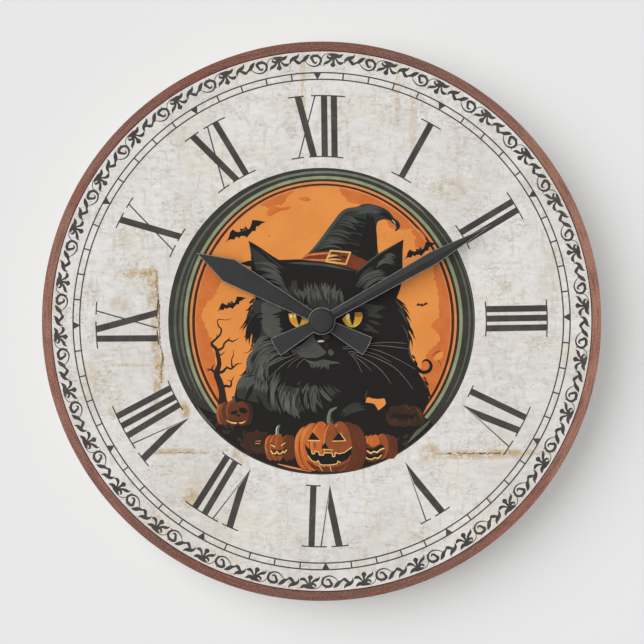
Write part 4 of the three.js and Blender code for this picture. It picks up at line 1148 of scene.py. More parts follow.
def cat_face():
    left = sides(
        [(-16.2, 3.7), (-12.6, 3.7), (-9.2, 2.9), (-6.4, 1.6), (-5.4, 0.1)],
        [(-6.6, -1.9), (-9, -3.1), (-11.6, -3.2), (-14.2, -1.6), (-15.6, 0.8)],
    )
    right = sides(
        [(10, 0.9), (11.8, 2.8), (14.4, 4), (19.6, 4.3)],
        [(19.9, 2), (18.9, -0.6), (17, -2.4), (14.8, -3), (12.2, -2)],
    )
    lids = [
        blob(
            (-17.2, 4), (-13.4, 5.2), (-8, 3.8), (-4.6, 1), (-5.2, -2.2), (-9, -4.4), (-13, -4),
            (-16, -1.4),
        ),
        blob(
            (8.2, 1.4), (11.2, 4.2), (16, 5.4), (21, 5.4), (22.2, 1.6), (20.4, -2.8), (15.4, -4.9),
            (10.8, -3.2),
        ),
    ]
    shade = [
        sides([(-9.6, 3), (-6.4, 1.7), (-5.4, 0.1)], [(-7.4, 0.3), (-9.6, 0.6)], []),
        sides([(16.2, 4.1), (19.6, 4.3)], [(19.9, 2.2)], [(18.2, 1.9), (16.2, 2.3)], []),
    ]
    warm = strokes(
        ((-15.2, 1.6, 1.2), (-14, -0.2, 2), (-12.2, -1.2, 1)),
        ((-8.8, 0.4, 0.8), (-7.2, 0.1, 1.2), (-6, 0, 0.3)),
        ((16.5, 1.5, 1.4), (18.2, 1.2, 1.5), (19.5, 1.2, 0.8)),
    )
    cream = [
        oval(-14.8, 2.4, 0.55, 1, 16), oval(-13.1, 2.5, 0.5, 0.9, 16),
        blob((11.9, 2.9), (13.4, 3.5), (13.3, 1), (12.3, 0.8)),
    ]
    bright = strokes(((-13.4, -1.6, 0.2), (-11.4, -2.7, 0.8), (-8.8, -2.4, 0.9), (-6.8, -1, 0.3)),
                     ((12.4, 0.6, 1), (13.2, -0.6, 0.8), (14, -1.6, 0.4)),
                     ((11.4, -1, 0.3), (13.6, -2.5, 0.7), (16.4, -2.3, 0.9), (18.8, -0.6, 0.4)))
    pupils = [
        sides([(-12.5, 3.9), (-9.6, 3.2)], [(-9.8, 0.6), (-10.9, -2.2)], [(-12, 0.4)]),
        sides([(13.6, 3.9), (16.2, 4.2)], [(16, 0.6), (15, -2.2)], [(14, 0.6)]),
    ]
    printed(
        "cat_eyes", 8, ("black", lids), ("eye", [left, right]), ("eye_shade", shade), ("eye_warm", warm),
        ("eye_bright", bright), ("eye_pale", cream), ("black", pupils),
    )
    nose = blob((-4, -6), (-1.4, -6), (4.4, -6), (6.6, -8.6), (4.6, -11.6), (3.2, -13.4), (1, -13.4),
                (-0.8, -11.4), (-2.9, -9.4))
    mouth = strokes(
        ((-12.4, -17.2, 0.2), (-8.6, -18.4, 1), (-3, -18.6, 1.3), (1.6, -16.8, 1.2), (2.8, -14.4, 0.5)),
        ((1.6, -17, 1.1), (4.6, -18, 1.2), (8.4, -17, 0.2)),
        ((2.6, -13.2, 0.6), (2.8, -15.6, 0.7)),
    )
    grey = [blob((0.4, -6.4), (3.6, -6.6), (3.9, -7.8), (2.2, -9.2), (0.8, -8.2)),
            *stroke((2.3, -10.3, 0.2), (2.2, -12, 0.6), (2.2, -13.4, 0.2))]
    printed(
        "cat_nose", 8, ("black", [nose, *mouth]), ("fur_dark", grey),
        ("glint", [oval(-0.4, -9.75, 1.7, 0.55, 20, 3)]),
    )
    printed(
        "cat_whiskers", 10,
        (
            "whisker",
            strokes(
                ((-12.4, -16, 0.24), (-20, -18.9, 0.27), (-28.8, -23.6, 0.16)),
                ((-11.4, -17, 0.21), (-19, -21.4, 0.26), (-25.8, -28, 0.16)),
                ((-9.6, -17.2, 0.16), (-14, -19.9, 0.21), (-16.6, -22.8, 0.12)),
                ((-8.6, -18.4, 0.16), (-10.9, -20.4, 0.21), (-12.3, -22.9, 0.12)),
                ((-8.6, -18.4, 0.16), (-4.6, -20.2, 0.21), (-3.2, -21.4, 0.12)),
                ((-20.4, -10.6, 0.12), (-25, -10.8, 0.21), (-29.4, -11.6, 0.08)),
                ((10.2, -12.8, 0.2), (24, -10.9, 0.22), (34, -10.3, 0.22), (41.4, -10.9, 0.12)),
                ((12, -12.4, 0.2), (26, -11.8, 0.24), (36, -12.6, 0.24), (44.2, -13.8, 0.12)),
                ((10.6, -13.6, 0.2), (22, -13, 0.24), (33, -16.5, 0.24), (45.6, -23.3, 0.16)),
                ((13.6, -14.6, 0.2), (24, -17, 0.26), (36, -23, 0.26), (44.6, -33, 0.16)),
                ((15.2, -15.6, 0.2), (24, -20, 0.27), (30, -25, 0.27), (33.8, -30.4, 0.16)),
                ((14.6, -15.8, 0.16), (20, -20, 0.24), (24.6, -24.4, 0.12)),
                ((13, -14.8, 0.16), (17, -19.5, 0.24), (19.7, -25.2, 0.12)),
                ((17, -13.8, 0.16), (26, -16, 0.24), (34, -20, 0.12)),
            ),
        ),
    )


def hat():
    dice = random.Random(15)
    cone = sides(
        [
            (-9.8, 30.1), (-5.6, 34), (-1.6, 38.4), (2.4, 43.4), (5.8, 48.6), (9, 52.8), (12.2, 54.9),
            (17, 55.8), (20, 56.9), (23.4, 57.2), (28, 56), (31.6, 54.4), (33.6, 52.6), (35.2, 50.4),
            (37.4, 48.6), (38.3, 46.6), (37.7, 45), (36.3, 43.9), (35.6, 44.3),
        ],
        [
            (36.4, 45.4), (36, 46.7), (34.4, 47.9), (32.8, 49.3), (29.6, 49.5), (27, 47.8), (26.7, 42),
            (27.3, 36), (27.6, 32.8),
        ],
        [(20, 26)], [(10, 29.6)],
    )
    brim = sides(
        [(-39.8, 28.3), (-33, 29.8), (-20, 29.9), (-9.8, 30.2), (4, 30), (24, 28)], [(20, 21)],
        [(0, 23), (-20, 24), (-34, 26.4)],
    )
    dark = strokes(
        ((24.6, 51, 1.4), (25.2, 44, 3), (25.4, 36, 3.2), (24, 28, 3.2)),
        ((22.4, 52.6, 0.6), (23, 46, 4.4), (22.4, 38, 7), (20.4, 30, 8)),
        ((26, 53, 0.4), (31, 52, 2), (35, 48.8, 1.2), (37.4, 46.4, 0.8), (36.4, 44.8, 0.2)),
        ((-4, 32.6, 1.4), (3, 35.2, 1.2), (13, 34.4, 1.6), (23, 29.6, 1.6)),
    )
    dark += flow(dice, [(2, 36), (10, 50)], [(25, 31), (25, 48)], 14, 1.3, 0.1, 0.6, 0.2)
    light = flows(
        dice,
        ([(-4, 34.6), (9.6, 51.6)], [(12, 34.4), (20, 47)], 13, 0.9, 0.12, 0.6, 0.2),
        ([(11, 54), (16, 52)], [(24, 55.4), (30, 53)], 6, 0.9, 0.06, 0.4, 0.1),
    )
    light += stroke(
        (-7, 32.4, 0.3), (-1.6, 37.6, 1.4), (4.4, 45.6, 1.5), (9.8, 52.4, 1.4), (13, 54.2, 1.3),
        (18, 55, 1.6), (24, 56, 1.3), (29, 54.6, 0.3),
    )
    glint = stroke((34.2, 49.4, 0.1), (35.4, 48.4, 0.4), (36, 47.2, 0.1))
    sheen = [sides(
        [(-17.2, 28.3), (-10, 28.8), (0, 28.2), (8, 26.8), (16.9, 24.2)],
        [(8, 25.7), (0, 27), (-10, 27.8)],
    )]
    edge = stroke((-20, 29.7, 0.1), (-14, 29.9, 0.3), (-9, 30, 0.1))
    printed("hat", 8, ("black", [brim]), ("hat", [cone]), ("black", dark), ("hat_light", light + sheen),
            ("seam", edge), ("glint", glint))


def hat_band():
    band = sides(
        [(-9.9, 30), (-7.4, 32.4), (-2, 33.7), (4, 34), (13.4, 33.1), (24.6, 28.2)], [(16.9, 24.9)],
        [(8, 27.4), (-2, 29.2)],
    )
    lit = strokes(((-9.4, 30.3, 0.1), (-6.6, 32.1, 0.8), (-1, 32.9, 1), (4, 33.2, 0.8)),
                  ((-9.4, 30.1, 0.1), (-4, 29.9, 0.9), (2.6, 29.6, 1.1)))
    printed("hat_band", 9, ("band", [band]), ("band_light", lit))
    frame_side = outline_stroke([(4.4, 34.4), (14, 33.5), (11.8, 27.8), (2.2, 29.2)], 0.85)
    tongue = strokes(
        ((3.4, 31.6, 0.9), (5.4, 32, 1), (7.8, 32, 0.3)),
        ((3, 29.9, 0.5), (6, 30.2, 0.8), (9.4, 30, 0.3)), steps=3,
    )
    dark = strokes(((5.2, 31, 0.5), (7.4, 31, 0.7), (9, 30.8, 0.3)), ((5.4, 33.3, 0.5), (9, 33.2, 0.5)),
                   ((9.6, 31.6, 0.4), (11.2, 31.2, 0.9), (12.6, 31, 0.3)), steps=3)
    printed("hat_buckle", 10, ("black", dark), ("gold", frame_side + tongue))


# ---------------------------------------------------------------- pumpkins


def outline_stroke(points, width, closed=True):
    """A line of even width along a polygon."""
    loop = list(points) + ([points[0]] if closed else [])
    cells = []
    for (x0, z0), (x1, z1) in zip(loop, loop[1:]):
        cells += stroke((x0, z0, width), (x1, z1, width), steps=1)
        cells.append(oval(x1, z1, width / 2, width / 2, 8))
    return cells


SEAM = 0.3
DIM, DEEP, SHADE, PLAIN, LIGHT = "pumpkin_dim", "pumpkin_deep", "pumpkin_shade", "pumpkin", "pumpkin_light"


def pumpkin(name, layer, x, z, width, height, lobes, details):
    """Lobes in painting order as shares of the size (offset, width, height) and their tone and shine."""
    coats = []
    for offset, wide, tall, tone, shine in lobes:
        across, up = x + offset * width, z - (1 - tall) * height * 0.25
        half, high = wide * width / 2, tall * height / 2
        marks = [(across - half * a, up + high * b, c) for a, b, c in (
            (0.5, -0.6, 0.1), (0.82, 0.05, half * 0.2), (0.62, 0.62, half * 0.26), (0.1, 0.9, 0.1))]
        coats += [
            ("seam", [oval(across, up, half, high, 36)]),
            (tone, [oval(across, up, half - SEAM, high - SEAM, 36)]),
            (shine, stroke(*marks)),
        ]
    printed(name, layer, *coats, *details)


def pumpkins():
    dice = random.Random(17)
    dim = ((-0.26, 0.5, 0.9, DIM, DIM), (0.27, 0.48, 0.9, DIM, DIM),
           (0, 0.46, 1, DIM, DIM))
    pumpkin(
        "pumpkin_far_left", 8, -31.6, -59, 13, 12, dim,
        [
            ("leaf_warm", fringe(dice, [(-37, -62), (-31, -63.4), (-26, -63)], 10, -90, 4, 1.4, 30, 40)),
            (
                "rim_orange",
                strokes(
                    ((-32.4, -58.5, 0.2), (-29.6, -58.4, 0.5)), ((-32.4, -59.6, 0.4), (-30, -59.7, 0.5)),
                ),
            ),
        ],
    )
    pumpkin(
        "pumpkin_far_right", 8, 40.4, -46, 17.6, 11, dim,
        [
            ("ground", [oval(36, -46.4, 2.2, 1.5, 16, 20), oval(42.6, -46.8, 2.2, 1.2, 16, -16)]),
            ("leaf_warm", fringe(dice, [(34, -50), (38, -50.6), (46, -49.6)], 14, -90, 3.6, 1.3, 30, 50)),
            ("ground", fringe(dice, [(32, -43), (38, -45.4), (48, -45)], 18, 90, 3.4, 1.1, 40, 80)),
            (
                DEEP,
                strokes(
                    ((46, -42.4, 0.3), (48.2, -45, 1.2), (48.4, -48, 0.3)),
                    ((41, -41.4, 0.3), (43, -43, 0.8)),
                ),
            ),
        ],
    )
    pumpkin(
        "pumpkin_upper_left", 8, -42.5, -44.8, 18, 12.6,
        (
            (-0.36, 0.28, 0.84, SHADE, PLAIN), (0.35, 0.3, 0.86, DIM, DEEP),
            (-0.24, 0.34, 0.94, DEEP, SHADE), (0.2, 0.42, 0.96, DEEP, SHADE),
            (-0.04, 0.42, 1, DEEP, SHADE),
        ),
        [
            (
                "ground",
                [
                    oval(-42.6, -44.6, 1.9, 1, 16, 14), oval(-38.2, -43.6, 2.2, 1.4, 16, -18),
                    oval(-40.6, -46, 1.2, 0.6, 12),
                ],
            ),
            (
                "seam",
                stroke(
                    (-46.6, -47.4, 0.3), (-43.8, -48.6, 1.1), (-40.2, -48.8, 1.1), (-37.2, -47.8, 0.3),
                ),
            ),
            (
                "glow",
                strokes(
                    ((-46.4, -48.2, 0.3), (-44.2, -49.4, 0.6), (-41.4, -49.7, 0.7)),
                    ((-40.2, -49.4, 0.5), (-38.8, -49.6, 0.6), (-37.2, -48.6, 0.3)),
                ),
            ),
            ("hat_light", stroke((-42.7, -39.6, 1.6), (-42.8, -38, 1.4), (-43.1, -36.6, 1.6), steps=3)),
        ],
    )
    pumpkin(
        "pumpkin_small_left", 9, -20.2, -61.4, 15.4, 13.8,
        (
            (0.36, 0.28, 0.9, DEEP, SHADE), (0.22, 0.4, 0.94, DEEP, SHADE),
            (-0.3, 0.4, 0.94, SHADE, LIGHT), (-0.14, 0.44, 0.98, SHADE, PLAIN),
            (-0.02, 0.3, 1, SHADE, PLAIN),
        ),
        [
            (
                "seam",
                [
                    blob((-25, -59.4), (-22.4, -60.4), (-22.6, -61.4), (-24.8, -60.9)),
                    blob((-17.4, -58.8), (-20.2, -60.2), (-19.8, -61), (-17.6, -60.2)),
                    blob((-25, -62.4), (-21.2, -62.8), (-17, -62.2), (-18.6, -65.2), (-23.2, -65.4)),
                ],
            ),
            (
                "glow",
                outline_stroke(
                    [
                        (-24.9, -62.9), (-23.8, -64.5), (-22.5, -64.6), (-21.8, -63.5), (-20.9, -64.7),
                        (-19.7, -64.5), (-18.9, -63.4), (-18.2, -64.2), (-17.1, -62.8),
                    ],
                    0.55, False,
                )
                + strokes(
                      ((-24.8, -60.2, 0.5), (-22.6, -61.3, 0.7)),
                      ((-19.8, -60.7, 0.6), (-17.6, -59.2, 0.4)),
                  ),
            ),
            ("stem", stroke((-21.6, -55.6, 1.7), (-21.5, -52.6, 1.4), (-20.6, -50.6, 1.2), steps=3)),
            ("glint", stroke((-22.1, -55.4, 0.3), (-22.1, -52.8, 0.4), (-21.4, -51.2, 0.3), steps=3)),
        ],
    )
    pumpkin(
        "pumpkin_small_right", 9, 28, -60.9, 18, 13.4,
        (
            (0.34, 0.36, 0.86, DEEP, SHADE), (0.22, 0.42, 0.92, DEEP, SHADE),
            (0.08, 0.4, 0.96, SHADE, PLAIN), (-0.34, 0.32, 0.86, PLAIN, LIGHT),
            (-0.22, 0.3, 0.9, PLAIN, LIGHT), (-0.1, 0.3, 0.92, PLAIN, LIGHT),
        ),
        [
            (
                DEEP,
                [blob(
                    (19.8, -60.6), (22, -59.6), (25, -61.4), (28.6, -59.8), (31, -62), (30, -66),
                    (26, -68.4), (21.4, -67.4),
                )],
            ),
            (
                "black",
                [
                    blob(
                        (20.2, -60.8), (22.4, -61.8), (25.4, -62), (29.2, -60.2), (30.4, -61.8),
                        (26, -64.6), (22, -64),
                    ),
                    blob((21, -64.2), (25, -65.4), (29.6, -63.6), (28.6, -65.8), (25, -67), (22, -66.4)),
                ],
            ),
            (
                "glow",
                outline_stroke(
                    [
                        (20, -63), (21.3, -63.7), (22.3, -63.2), (23.9, -64.4), (25.5, -63.5), (27, -64),
                        (28.8, -62.5), (30.4, -62),
                    ],
                    0.6, False,
                )
                + outline_stroke(
                      [
                          (21, -65.8), (22.5, -67.1), (24.6, -67.4), (25.9, -66.5), (27.5, -66.9),
                          (29.1, -65.3),
                      ],
                      0.5, False,
                  ),
            ),
        ],
    )
    eyes = [[(-4.4, -54), (-0.9, -58), (-6.6, -57.8)], [(8.7, -54), (11.7, -58), (5.2, -58.2)],
            [(1.6, -59), (3.5, -62.2), (-0.3, -62.1)]]
    upper = [
        (-8.3, -59.8), (-6.6, -61.8), (-5, -62.8), (-4.6, -64.7), (-3.4, -64.6), (-3.2, -63.2),
        (-1.4, -63.9), (-1, -65.3), (0.9, -65.3), (1.2, -64.2), (5, -64.2), (5.4, -66), (6.4, -66),
        (6.6, -64.1), (8.6, -64.6), (11.2, -64), (14.7, -61.4),
    ]
    lower = [
        (14.7, -61.4), (14.4, -64.8), (12.6, -67.4), (9.4, -69), (8, -68.2), (7.4, -69.6), (4, -70.1),
        (0.4, -70.1), (-1, -69.5), (-1.7, -67.9), (-2.6, -68.8), (-4.8, -68), (-6.6, -65.6),
        (-7.8, -62.4), (-8.3, -59.8),
    ]
    pumpkin(
        "pumpkin_big", 10, 4.3, -61, 35.6, 25.2,
        (
            (0.36, 0.28, 0.84, DEEP, DEEP), (0.3, 0.38, 0.92, DEEP, DEEP),
            (-0.34, 0.32, 0.86, PLAIN, LIGHT), (0.22, 0.42, 0.97, DEEP, SHADE),
            (-0.24, 0.38, 0.95, PLAIN, LIGHT), (0.13, 0.34, 0.99, SHADE, LIGHT),
            (-0.13, 0.32, 0.99, PLAIN, LIGHT), (0, 0.22, 0.97, SHADE, LIGHT),
        ),
        [
            (
                DEEP,
                strokes(((-7, -68, 0.6), (-3, -71.4, 2), (3, -72.4, 2.4), (9, -71.6, 2), (14, -68, 0.4))),
            ),
            (
                SHADE,
                strokes(
                    ((-3.4, -59.4, 1.4), (-3.2, -61.8, 0.8)), ((7.2, -59.6, 2.2), (7.2, -62.6, 1.6)),
                    ((12.4, -59, 0.4), (13.2, -61, 0.8)),
                ),
            ),
            ("black", [*eyes, upper[:-1] + lower[:-1]]),
            (
                "glow",
                outline_stroke([(-6.6, -58.1), (-0.9, -58.3)], 0.45, False)
                + outline_stroke([(5.2, -58.5), (11.7, -58.3), (9, -54.4)], 0.4, False)
                + outline_stroke(upper[2:], 0.4, False)
                + outline_stroke(lower[3:-2], 0.4, False)
                + strokes(
                      ((-1.6, -70, 0.2), (-0.2, -72, 0.3), (0.6, -73.2, 0.1)),
                      ((4, -70.4, 0.2), (4.4, -72, 0.3), (5, -73.4, 0.1)),
                      ((0.6, -62.7, 0.3), (3, -62.6, 0.4), (5.6, -62.9, 0.3)),
                  ),
            ),
            (
                "stem",
                stroke((4.2, -49.6, 3.4), (3.6, -46.6, 2), (4.6, -43.6, 1.5), (7.4, -42, 0.7), steps=4),
            ),
            ("stem_dark", stroke((5.2, -49.6, 1.2), (4.4, -46.6, 0.8), (5, -44, 0.3), steps=4)),
        ],
    )


def picture():
    rim()
    sky()
    bats()
    tree()
    ground()
    cat_silhouette()
    cat_fur()
    hat()
    hat_band()
    cat_ears()
    cat_face()
    pumpkins()


# ---------------------------------------------------------------- hands


def painted_metal():
    paint = Paint("hand_paint", specular=0.25)
    cloud = paint.noise(160, 3)
    tone = paint.tones(cloud, 0.35, 0.68, (42, 42, 42), (47, 47, 47))
    return paint.finished(
        tone, paint.noise(2600, 3, 0.6), 0.00001, 0.6, paint.between(cloud, 0.3, 0.7, 0.42, 0.56),
    )


# Painted highlight: a pale grey line along the edges of the hands and round the hub, standing in for light
# caught by the edges.
def painted_edge_highlight():
    paint = Paint("hand_highlight")
    tone = paint.tones(paint.noise(500, 4), 0.35, 0.65, (104, 104, 102), (134, 134, 131))
    return paint.finished(tone, paint.noise(3000, 2), 0.00001, 0.5)


def fused(pieces):
    """Joins closed solids into the first of them with exact booleans, worked out in millimetres."""
    for piece in pieces:
        piece.data.transform(Matrix.Scale(1 / MM, 4))
    keep, *others = pieces
    for other in others:
        join = keep.modifiers.new("join", "BOOLEAN")
        join.operation = "UNION"
        join.solver = "EXACT"
        join.object = other
    bpy.context.view_layer.update()
    made = bpy.data.meshes.new_from_object(keep.evaluated_get(bpy.context.evaluated_depsgraph_get()))
    keep.modifiers.clear()
    keep.data = made
    mesh = bmesh.new()
    mesh.from_mesh(made)
    bmesh.ops.remove_doubles(mesh, verts=mesh.verts, dist=FUSE_REACH)
    bmesh.ops.dissolve_degenerate(mesh, edges=mesh.edges, dist=FUSE_REACH)
    mesh.to_mesh(made)
    mesh.free()
    made.transform(Matrix.Scale(MM, 4))
    for other in others:
        bpy.data.objects.remove(other)
    return keep


HANDS = {
    # seen from the front: tip, shoulder, widest, neck, tail, tail end width, clock, bore
    "minute": (95, 62.5, 6.7, 4.5, 26, 9.7, 60.5, 3.3),
    "hour": (69.3, 51.5, 12.1, 4.2, 25.8, 9.9, 298.7, 6.7),
}


def hand_shapes(which, inset):
    """The outline of the blade and of the tail, drawn in by so much."""
    tip, shoulder, widest, neck, tail, tail_end, *_ = HANDS[which]
    near, wide = neck / 2 - inset, widest / 2 - inset
    point = tip - inset / math.sin(math.atan2(widest / 2, tip - shoulder))
    spread = math.degrees(math.asin((tail_end / 2 - inset) / tail))
    return [
        [(-near, 0), (near, 0), (wide, shoulder), (0, point), (-wide, shoulder)],
        [(near, 0), (-near, 0), *arc(tail - inset, 180 + spread, 180 - spread, 10)],
    ]


def slab(name, loops, cuts, back, front, material_index=0):
    mesh = bmesh.new()
    add_prism(mesh, *union(loops, cuts), back, front, material_index)
    return loose(name, mesh, INK["hand_paint"], INK["hand_highlight"])


def ridge(which, edge, front):
    """A low four-sided bar from the hub to the tip, widest at the shoulder."""
    tip, shoulder, widest, neck, *_ = HANDS[which]
    start = HUB_RADIUS - 0.6
    wide = neck / 2 + (widest - neck) / 2 * start / shoulder
    low = edge + 0.03
    section = ((-1, low), (0, front + 0.01), (1, low), (0, edge + 0.12))
    mesh = bmesh.new()
    near, far = (
        [mesh.verts.new((share * half * MM, y * MM, along * MM)) for share, y in section]
        for along, half in ((start, wide - 0.06), (shoulder, widest / 2 - 0.06))
    )
    point = mesh.verts.new((0, low * MM, (tip - 0.5) * MM))
    mesh.faces.new(near)
    for i in range(4):
        j = (i + 1) % 4
        mesh.faces.new((near[i], far[i], far[j], near[j]))
        mesh.faces.new((far[i], point, far[j]))
    bmesh.ops.recalc_face_normals(mesh, faces=mesh.faces)
    return loose("ridge", mesh, INK["hand_paint"], INK["hand_highlight"])


def watch_hand(which):
    """A pointed hand pressed from sheet: flat underneath, with a ridge along the blade and a painted
    highlight line along its edges and round the hub.
    """
    clock, bore = HANDS[which][-2:]
    node = which + "_hand"
    low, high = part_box(node)
    back, front = high.y / MM, low.y / MM
    edge = back + (front - back) * EDGE_SHARE
    # No two of these share a wall, so that they join cleanly.
    pressed = [*hand_shapes(which, 0), circle(HUB_RADIUS - 0.1, 80)]
    hub_inside = [circle(HUB_RADIUS - HIGHLIGHT_WIDTH, 72), *hand_shapes(which, 0.05)]
    edge_inside = [*hand_shapes(which, HIGHLIGHT_WIDTH), circle(HUB_RADIUS - 0.4, 64)]
    piece = fused([
        slab(f"{which}_hand_pressed", pressed, [circle(bore / 2 + 0.1, 40)], back, edge),
        slab("hub", [circle(HUB_RADIUS, 96)], [circle(bore / 2, 48)], back - 0.05, front + 0.04),
        # Painted highlight: a pale line round the hub and along the blade's edge.
        slab("hub_highlight_ring", [circle(HUB_RADIUS + 0.03, 88)], hub_inside, back - 0.13, front, 1),
        ridge(which, edge, front),
        slab("blade_highlight_line", hand_shapes(which, 0.02), edge_inside, back - 0.09, edge - 0.07, 1),
    ])
    piece.data.transform(Matrix.Rotation(math.radians(clock), 4, "Y"))
    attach(piece, which)
    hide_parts(node)


def lathe(profile, count=96):
    """A closed solid turned about the y axis from (radius, y) points in millimetres."""
    mesh = bmesh.new()
    rings = []
    for radius, level in profile:
        rings.append([])
        for i in range(count if radius else 1):
            angle = 2 * math.pi * i / count
            place = (radius * MM * math.sin(angle), level * MM, radius * MM * math.cos(angle))
            rings[-1].append(mesh.verts.new(place))
    for low, high in zip(rings, rings[1:]):
        for i in range(count):
            j = (i + 1) % count
            if len(low) == 1:
                mesh.faces.new((low[0], high[i], high[j]))
            elif len(high) == 1:
                mesh.faces.new((low[i], high[0], low[j]))
            else:
                mesh.faces.new((low[i], high[i], high[j], low[j]))
    bmesh.ops.recalc_face_normals(mesh, faces=mesh.faces)
    return mesh


def hand_cap():
    low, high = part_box("hand_cap_nut")
    back, rim = high.y / MM, high.x / MM
    depth = low.y / MM - back
    inner = 1.7  # radius of the socket for the minute tube
    profile = [
        (0, 0.42), (inner, 0.42), (inner, 0), (rim, 0), (rim, 0.84), (rim * 0.9, 0.94),
        (rim * 0.6, 0.985), (0, 1),
    ]
    mesh = lathe([(radius, back + depth * share) for radius, share in profile])
    piece = new_object("hand_cap", mesh, [INK["hand_paint"], INK["hand_highlight"]], "minute")
    bevel = piece.modifiers.new("soft_edges", "BEVEL")
    bevel.width = CAP_BEVEL
    bevel.segments = 2
    bevel.limit_method = "ANGLE"
    bevel.angle_limit = math.radians(28)
    bevel.harden_normals = False
    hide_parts("hand_cap_nut")


# ---------------------------------------------------------------- materials of the carried-over parts


def plastic(name, tone, other, grain=900, rough=(0.42, 0.58), relief=0.00003):
    """A moulding with a fine spark-eroded grain and slight handling marks."""
    paint = Paint(name, specular=0.45)
    cloud = paint.noise(70, 4, 0.6)
    scuff = paint.noise((900, 60, 260), 3, 0.7)
    light = [min(c * 1.25 + 14, 255) for c in other]
    colour = paint.laid(
        paint.tones(cloud, 0.34, 0.68, tone, other), (scuff, 0.64, 0.76, 0.0, 0.35, light),
    )
    return paint.finished(
        colour, paint.noise(grain, 3, 0.65), relief, 0.7, paint.between(cloud, 0.3, 0.7, *rough),
    )


def metal(name, tone, other, rough=(0.2, 0.36), lean=(1400, 1400, 90), relief=0.000006):
    """A drawn or turned metal with fine lines and a little tarnish."""
    paint = Paint(name, metal=1.0)
    lines = paint.noise(lean, 4, 0.7)
    dark = [c * 0.6 for c in tone]
    colour = paint.tones(paint.noise(240, 4, 0.6), 0.36, 0.68, tone, other)
    colour = paint.laid(colour, (lines, 0.35, 0.5, 0.25, 0.0, dark))
    return paint.finished(colour, lines, relief, 0.8, paint.between(lines, 0.3, 0.7, *rough))


def winding():
    """Enamelled wire in turns across the bobbin, with painted shade in the furrows between the turns."""
    paint = Paint("copper_wire", rough=0.3, metal=0.85)
    turns = paint.math("SINE", paint.math("MULTIPLY", paint.axis("X"), 2 * math.pi / TURN_PITCH))
    colour = paint.tones(paint.noise(400, 3), 0.35, 0.65, (168, 88, 50), (196, 112, 66))
    # Painted shade: the colour darkens in the furrows between the turns.
    colour = paint.laid(colour, (turns, -1.0, 0.2, 0.6, 0.0, (90, 40, 22)))
    return paint.finished(colour, turns, 0.00004, 0.8)


def panel_sheet():
    """The sheet behind the print: milky, slightly mottled, with saw marks round its edge."""
    paint = Paint("panel_sheet")
    cloud = paint.noise(45, 4, 0.6)
    marks = paint.noise(1.0, 3, 0.6, place=ring_place(paint, 420, 60))
    colour = paint.tones(cloud, 0.34, 0.68, (214, 210, 203), (228, 226, 221))
    colour = paint.laid(colour, (marks, 0.55, 0.75, 0.0, 0.3, (190, 184, 174)))
    return paint.finished(colour, marks, 0.00003, 0.5, paint.between(cloud, 0.3, 0.7, 0.3, 0.45))


def dress_nodes():
    """Gives each carried-over CAD node its material."""
    looks = {"printed_face": panel_sheet(), "hand_paint": INK["hand_paint"], "copper_wire": winding()}
    for make, name, *look in (
        (plastic, "case_plastic", (30, 30, 32), (38, 38, 40)),
        (plastic, "wheel_plastic", (222, 218, 206), (232, 229, 220), 1500, (0.35, 0.5), 0.00001),
        (plastic, "knob_plastic", (196, 196, 192), (208, 208, 205), 1200, (0.35, 0.5), 0.00002),
        (metal, "brass", (196, 160, 92), (212, 180, 116)),
        (metal, "steel", (168, 170, 172), (192, 194, 196)),
        (plastic, "rubber", (26, 26, 26), (34, 34, 34), 700, (0.7, 0.86), 0.00004),
        (plastic, "magnet", (54, 55, 58), (66, 67, 70), 1800, (0.36, 0.5), 0.00002),
        (plastic, "bobbin_plastic", (216, 206, 170), (226, 218, 188), 1200),
        (plastic, "board", (120, 84, 44), (136, 98, 56), 500, (0.45, 0.6), 0.00002),
        (plastic, "resin", (20, 20, 20), (28, 28, 28), 300, (0.16, 0.3), 0.00002),
        (metal, "cell_sleeve", (52, 54, 60), (62, 64, 70), (0.3, 0.42), (40, 900, 900)),
    ):
        looks[name] = make(name, *look)
    for part in frame["record"]["subparts"]:
        data = frame["nodes"][part["node"]].data
        data.materials.clear()
        data.materials.append(looks[part["material_slot"]])


# ---------------------------------------------------------------- stage, light and camera


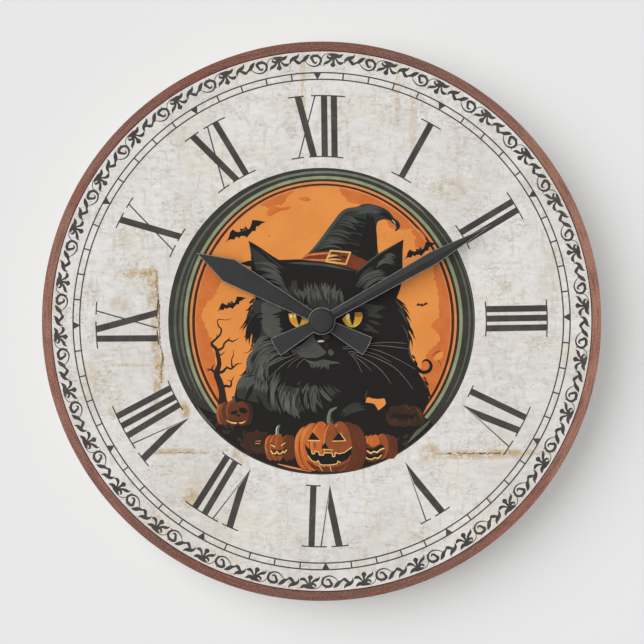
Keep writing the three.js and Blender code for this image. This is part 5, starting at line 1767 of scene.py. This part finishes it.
def backdrop():
    """A pale wall just behind the clock. It is clear when seen from behind."""
    mesh = bmesh.new()
    depth = CAD_BOUNDS[1].y + WALL_GAP
    corners_of_wall = ((-1, -1), (1, -1), (1, 1), (-1, 1))
    mesh.faces.new([mesh.verts.new((x * WALL_HALF, depth, z * WALL_HALF)) for x, z in corners_of_wall])
    paint = Paint("wall_paint", rough=0.85, specular=0.2)
    tone = paint.tones(paint.noise(3, 3), 0.3, 0.7, (229, 229, 229), (231, 231, 231))
    wall = loose("wall", mesh, paint.finished(tone, paint.noise(420, 4), 0.00008, 0.35))
    behind = paint.node("NewGeometry", "Backfacing", {})
    clear = paint.node("BsdfTransparent", 0, {})
    choice = paint.node("MixShader", 0, {0: behind, 1: paint.shader.outputs[0], 2: clear})
    paint.links.new(choice, paint.nodes["Material Output"].inputs["Surface"])


def sun(name, heading, strength, angle, shadow=True):
    """A distant lamp that shines from a direction, with a soft edge of so many degrees."""
    lamp = bpy.data.lights.new(name, "SUN")
    lamp.energy = strength
    lamp.angle = math.radians(angle)
    lamp.use_shadow = shadow
    linked(name, lamp).rotation_euler = (-Vector(heading)).to_track_quat("-Z", "Y").to_euler()


def studio():
    sun("key", (-0.62, -0.72, 0.26), 2.02, 60)
    sun("front", (-0.06, -1, 0.1), 0.15, 12)
    # The wall stands between these two and the back of the clock, so they pass through it.
    sun("back_key", (-0.5, 0.6, 0.62), 1.1, 40, False)
    sun("back_fill", (0.7, 0.7, 0.1), 0.5, 40, False)
    world = bpy.data.worlds.new("studio")
    world.use_nodes = True
    sky_light = world.node_tree.nodes["Background"]
    sky_light.inputs["Color"].default_value = (1, 1, 1, 1)
    sky_light.inputs["Strength"].default_value = 0.5
    bpy.context.scene.world = world
    bpy.context.scene.view_settings.view_transform = "Standard"


def camera():
    """Looks straight at the dial, from far enough back to show it as flat as the photograph does."""
    data = bpy.data.cameras.new("camera")
    data.lens = LENS
    data.sensor_width = SENSOR
    data.clip_end = VIEW_REACH
    holder = linked("camera", data)
    distance = VIEW_WIDTH * LENS / SENSOR
    holder.location = (VIEW_CENTRE[0], PANEL_FRONT * MM - distance, VIEW_CENTRE[1])
    holder.rotation_euler = (math.pi / 2, 0, 0)
    bpy.context.scene.camera = holder


INK["hand_paint"] = painted_metal()
INK["hand_highlight"] = painted_edge_highlight()
camera()
studio()
backdrop()
dress_nodes()
paper_disc()
creases()
border()
vine()
minute_track()
numerals()
picture()
watch_hand("minute")
watch_hand("hour")
hand_cap()
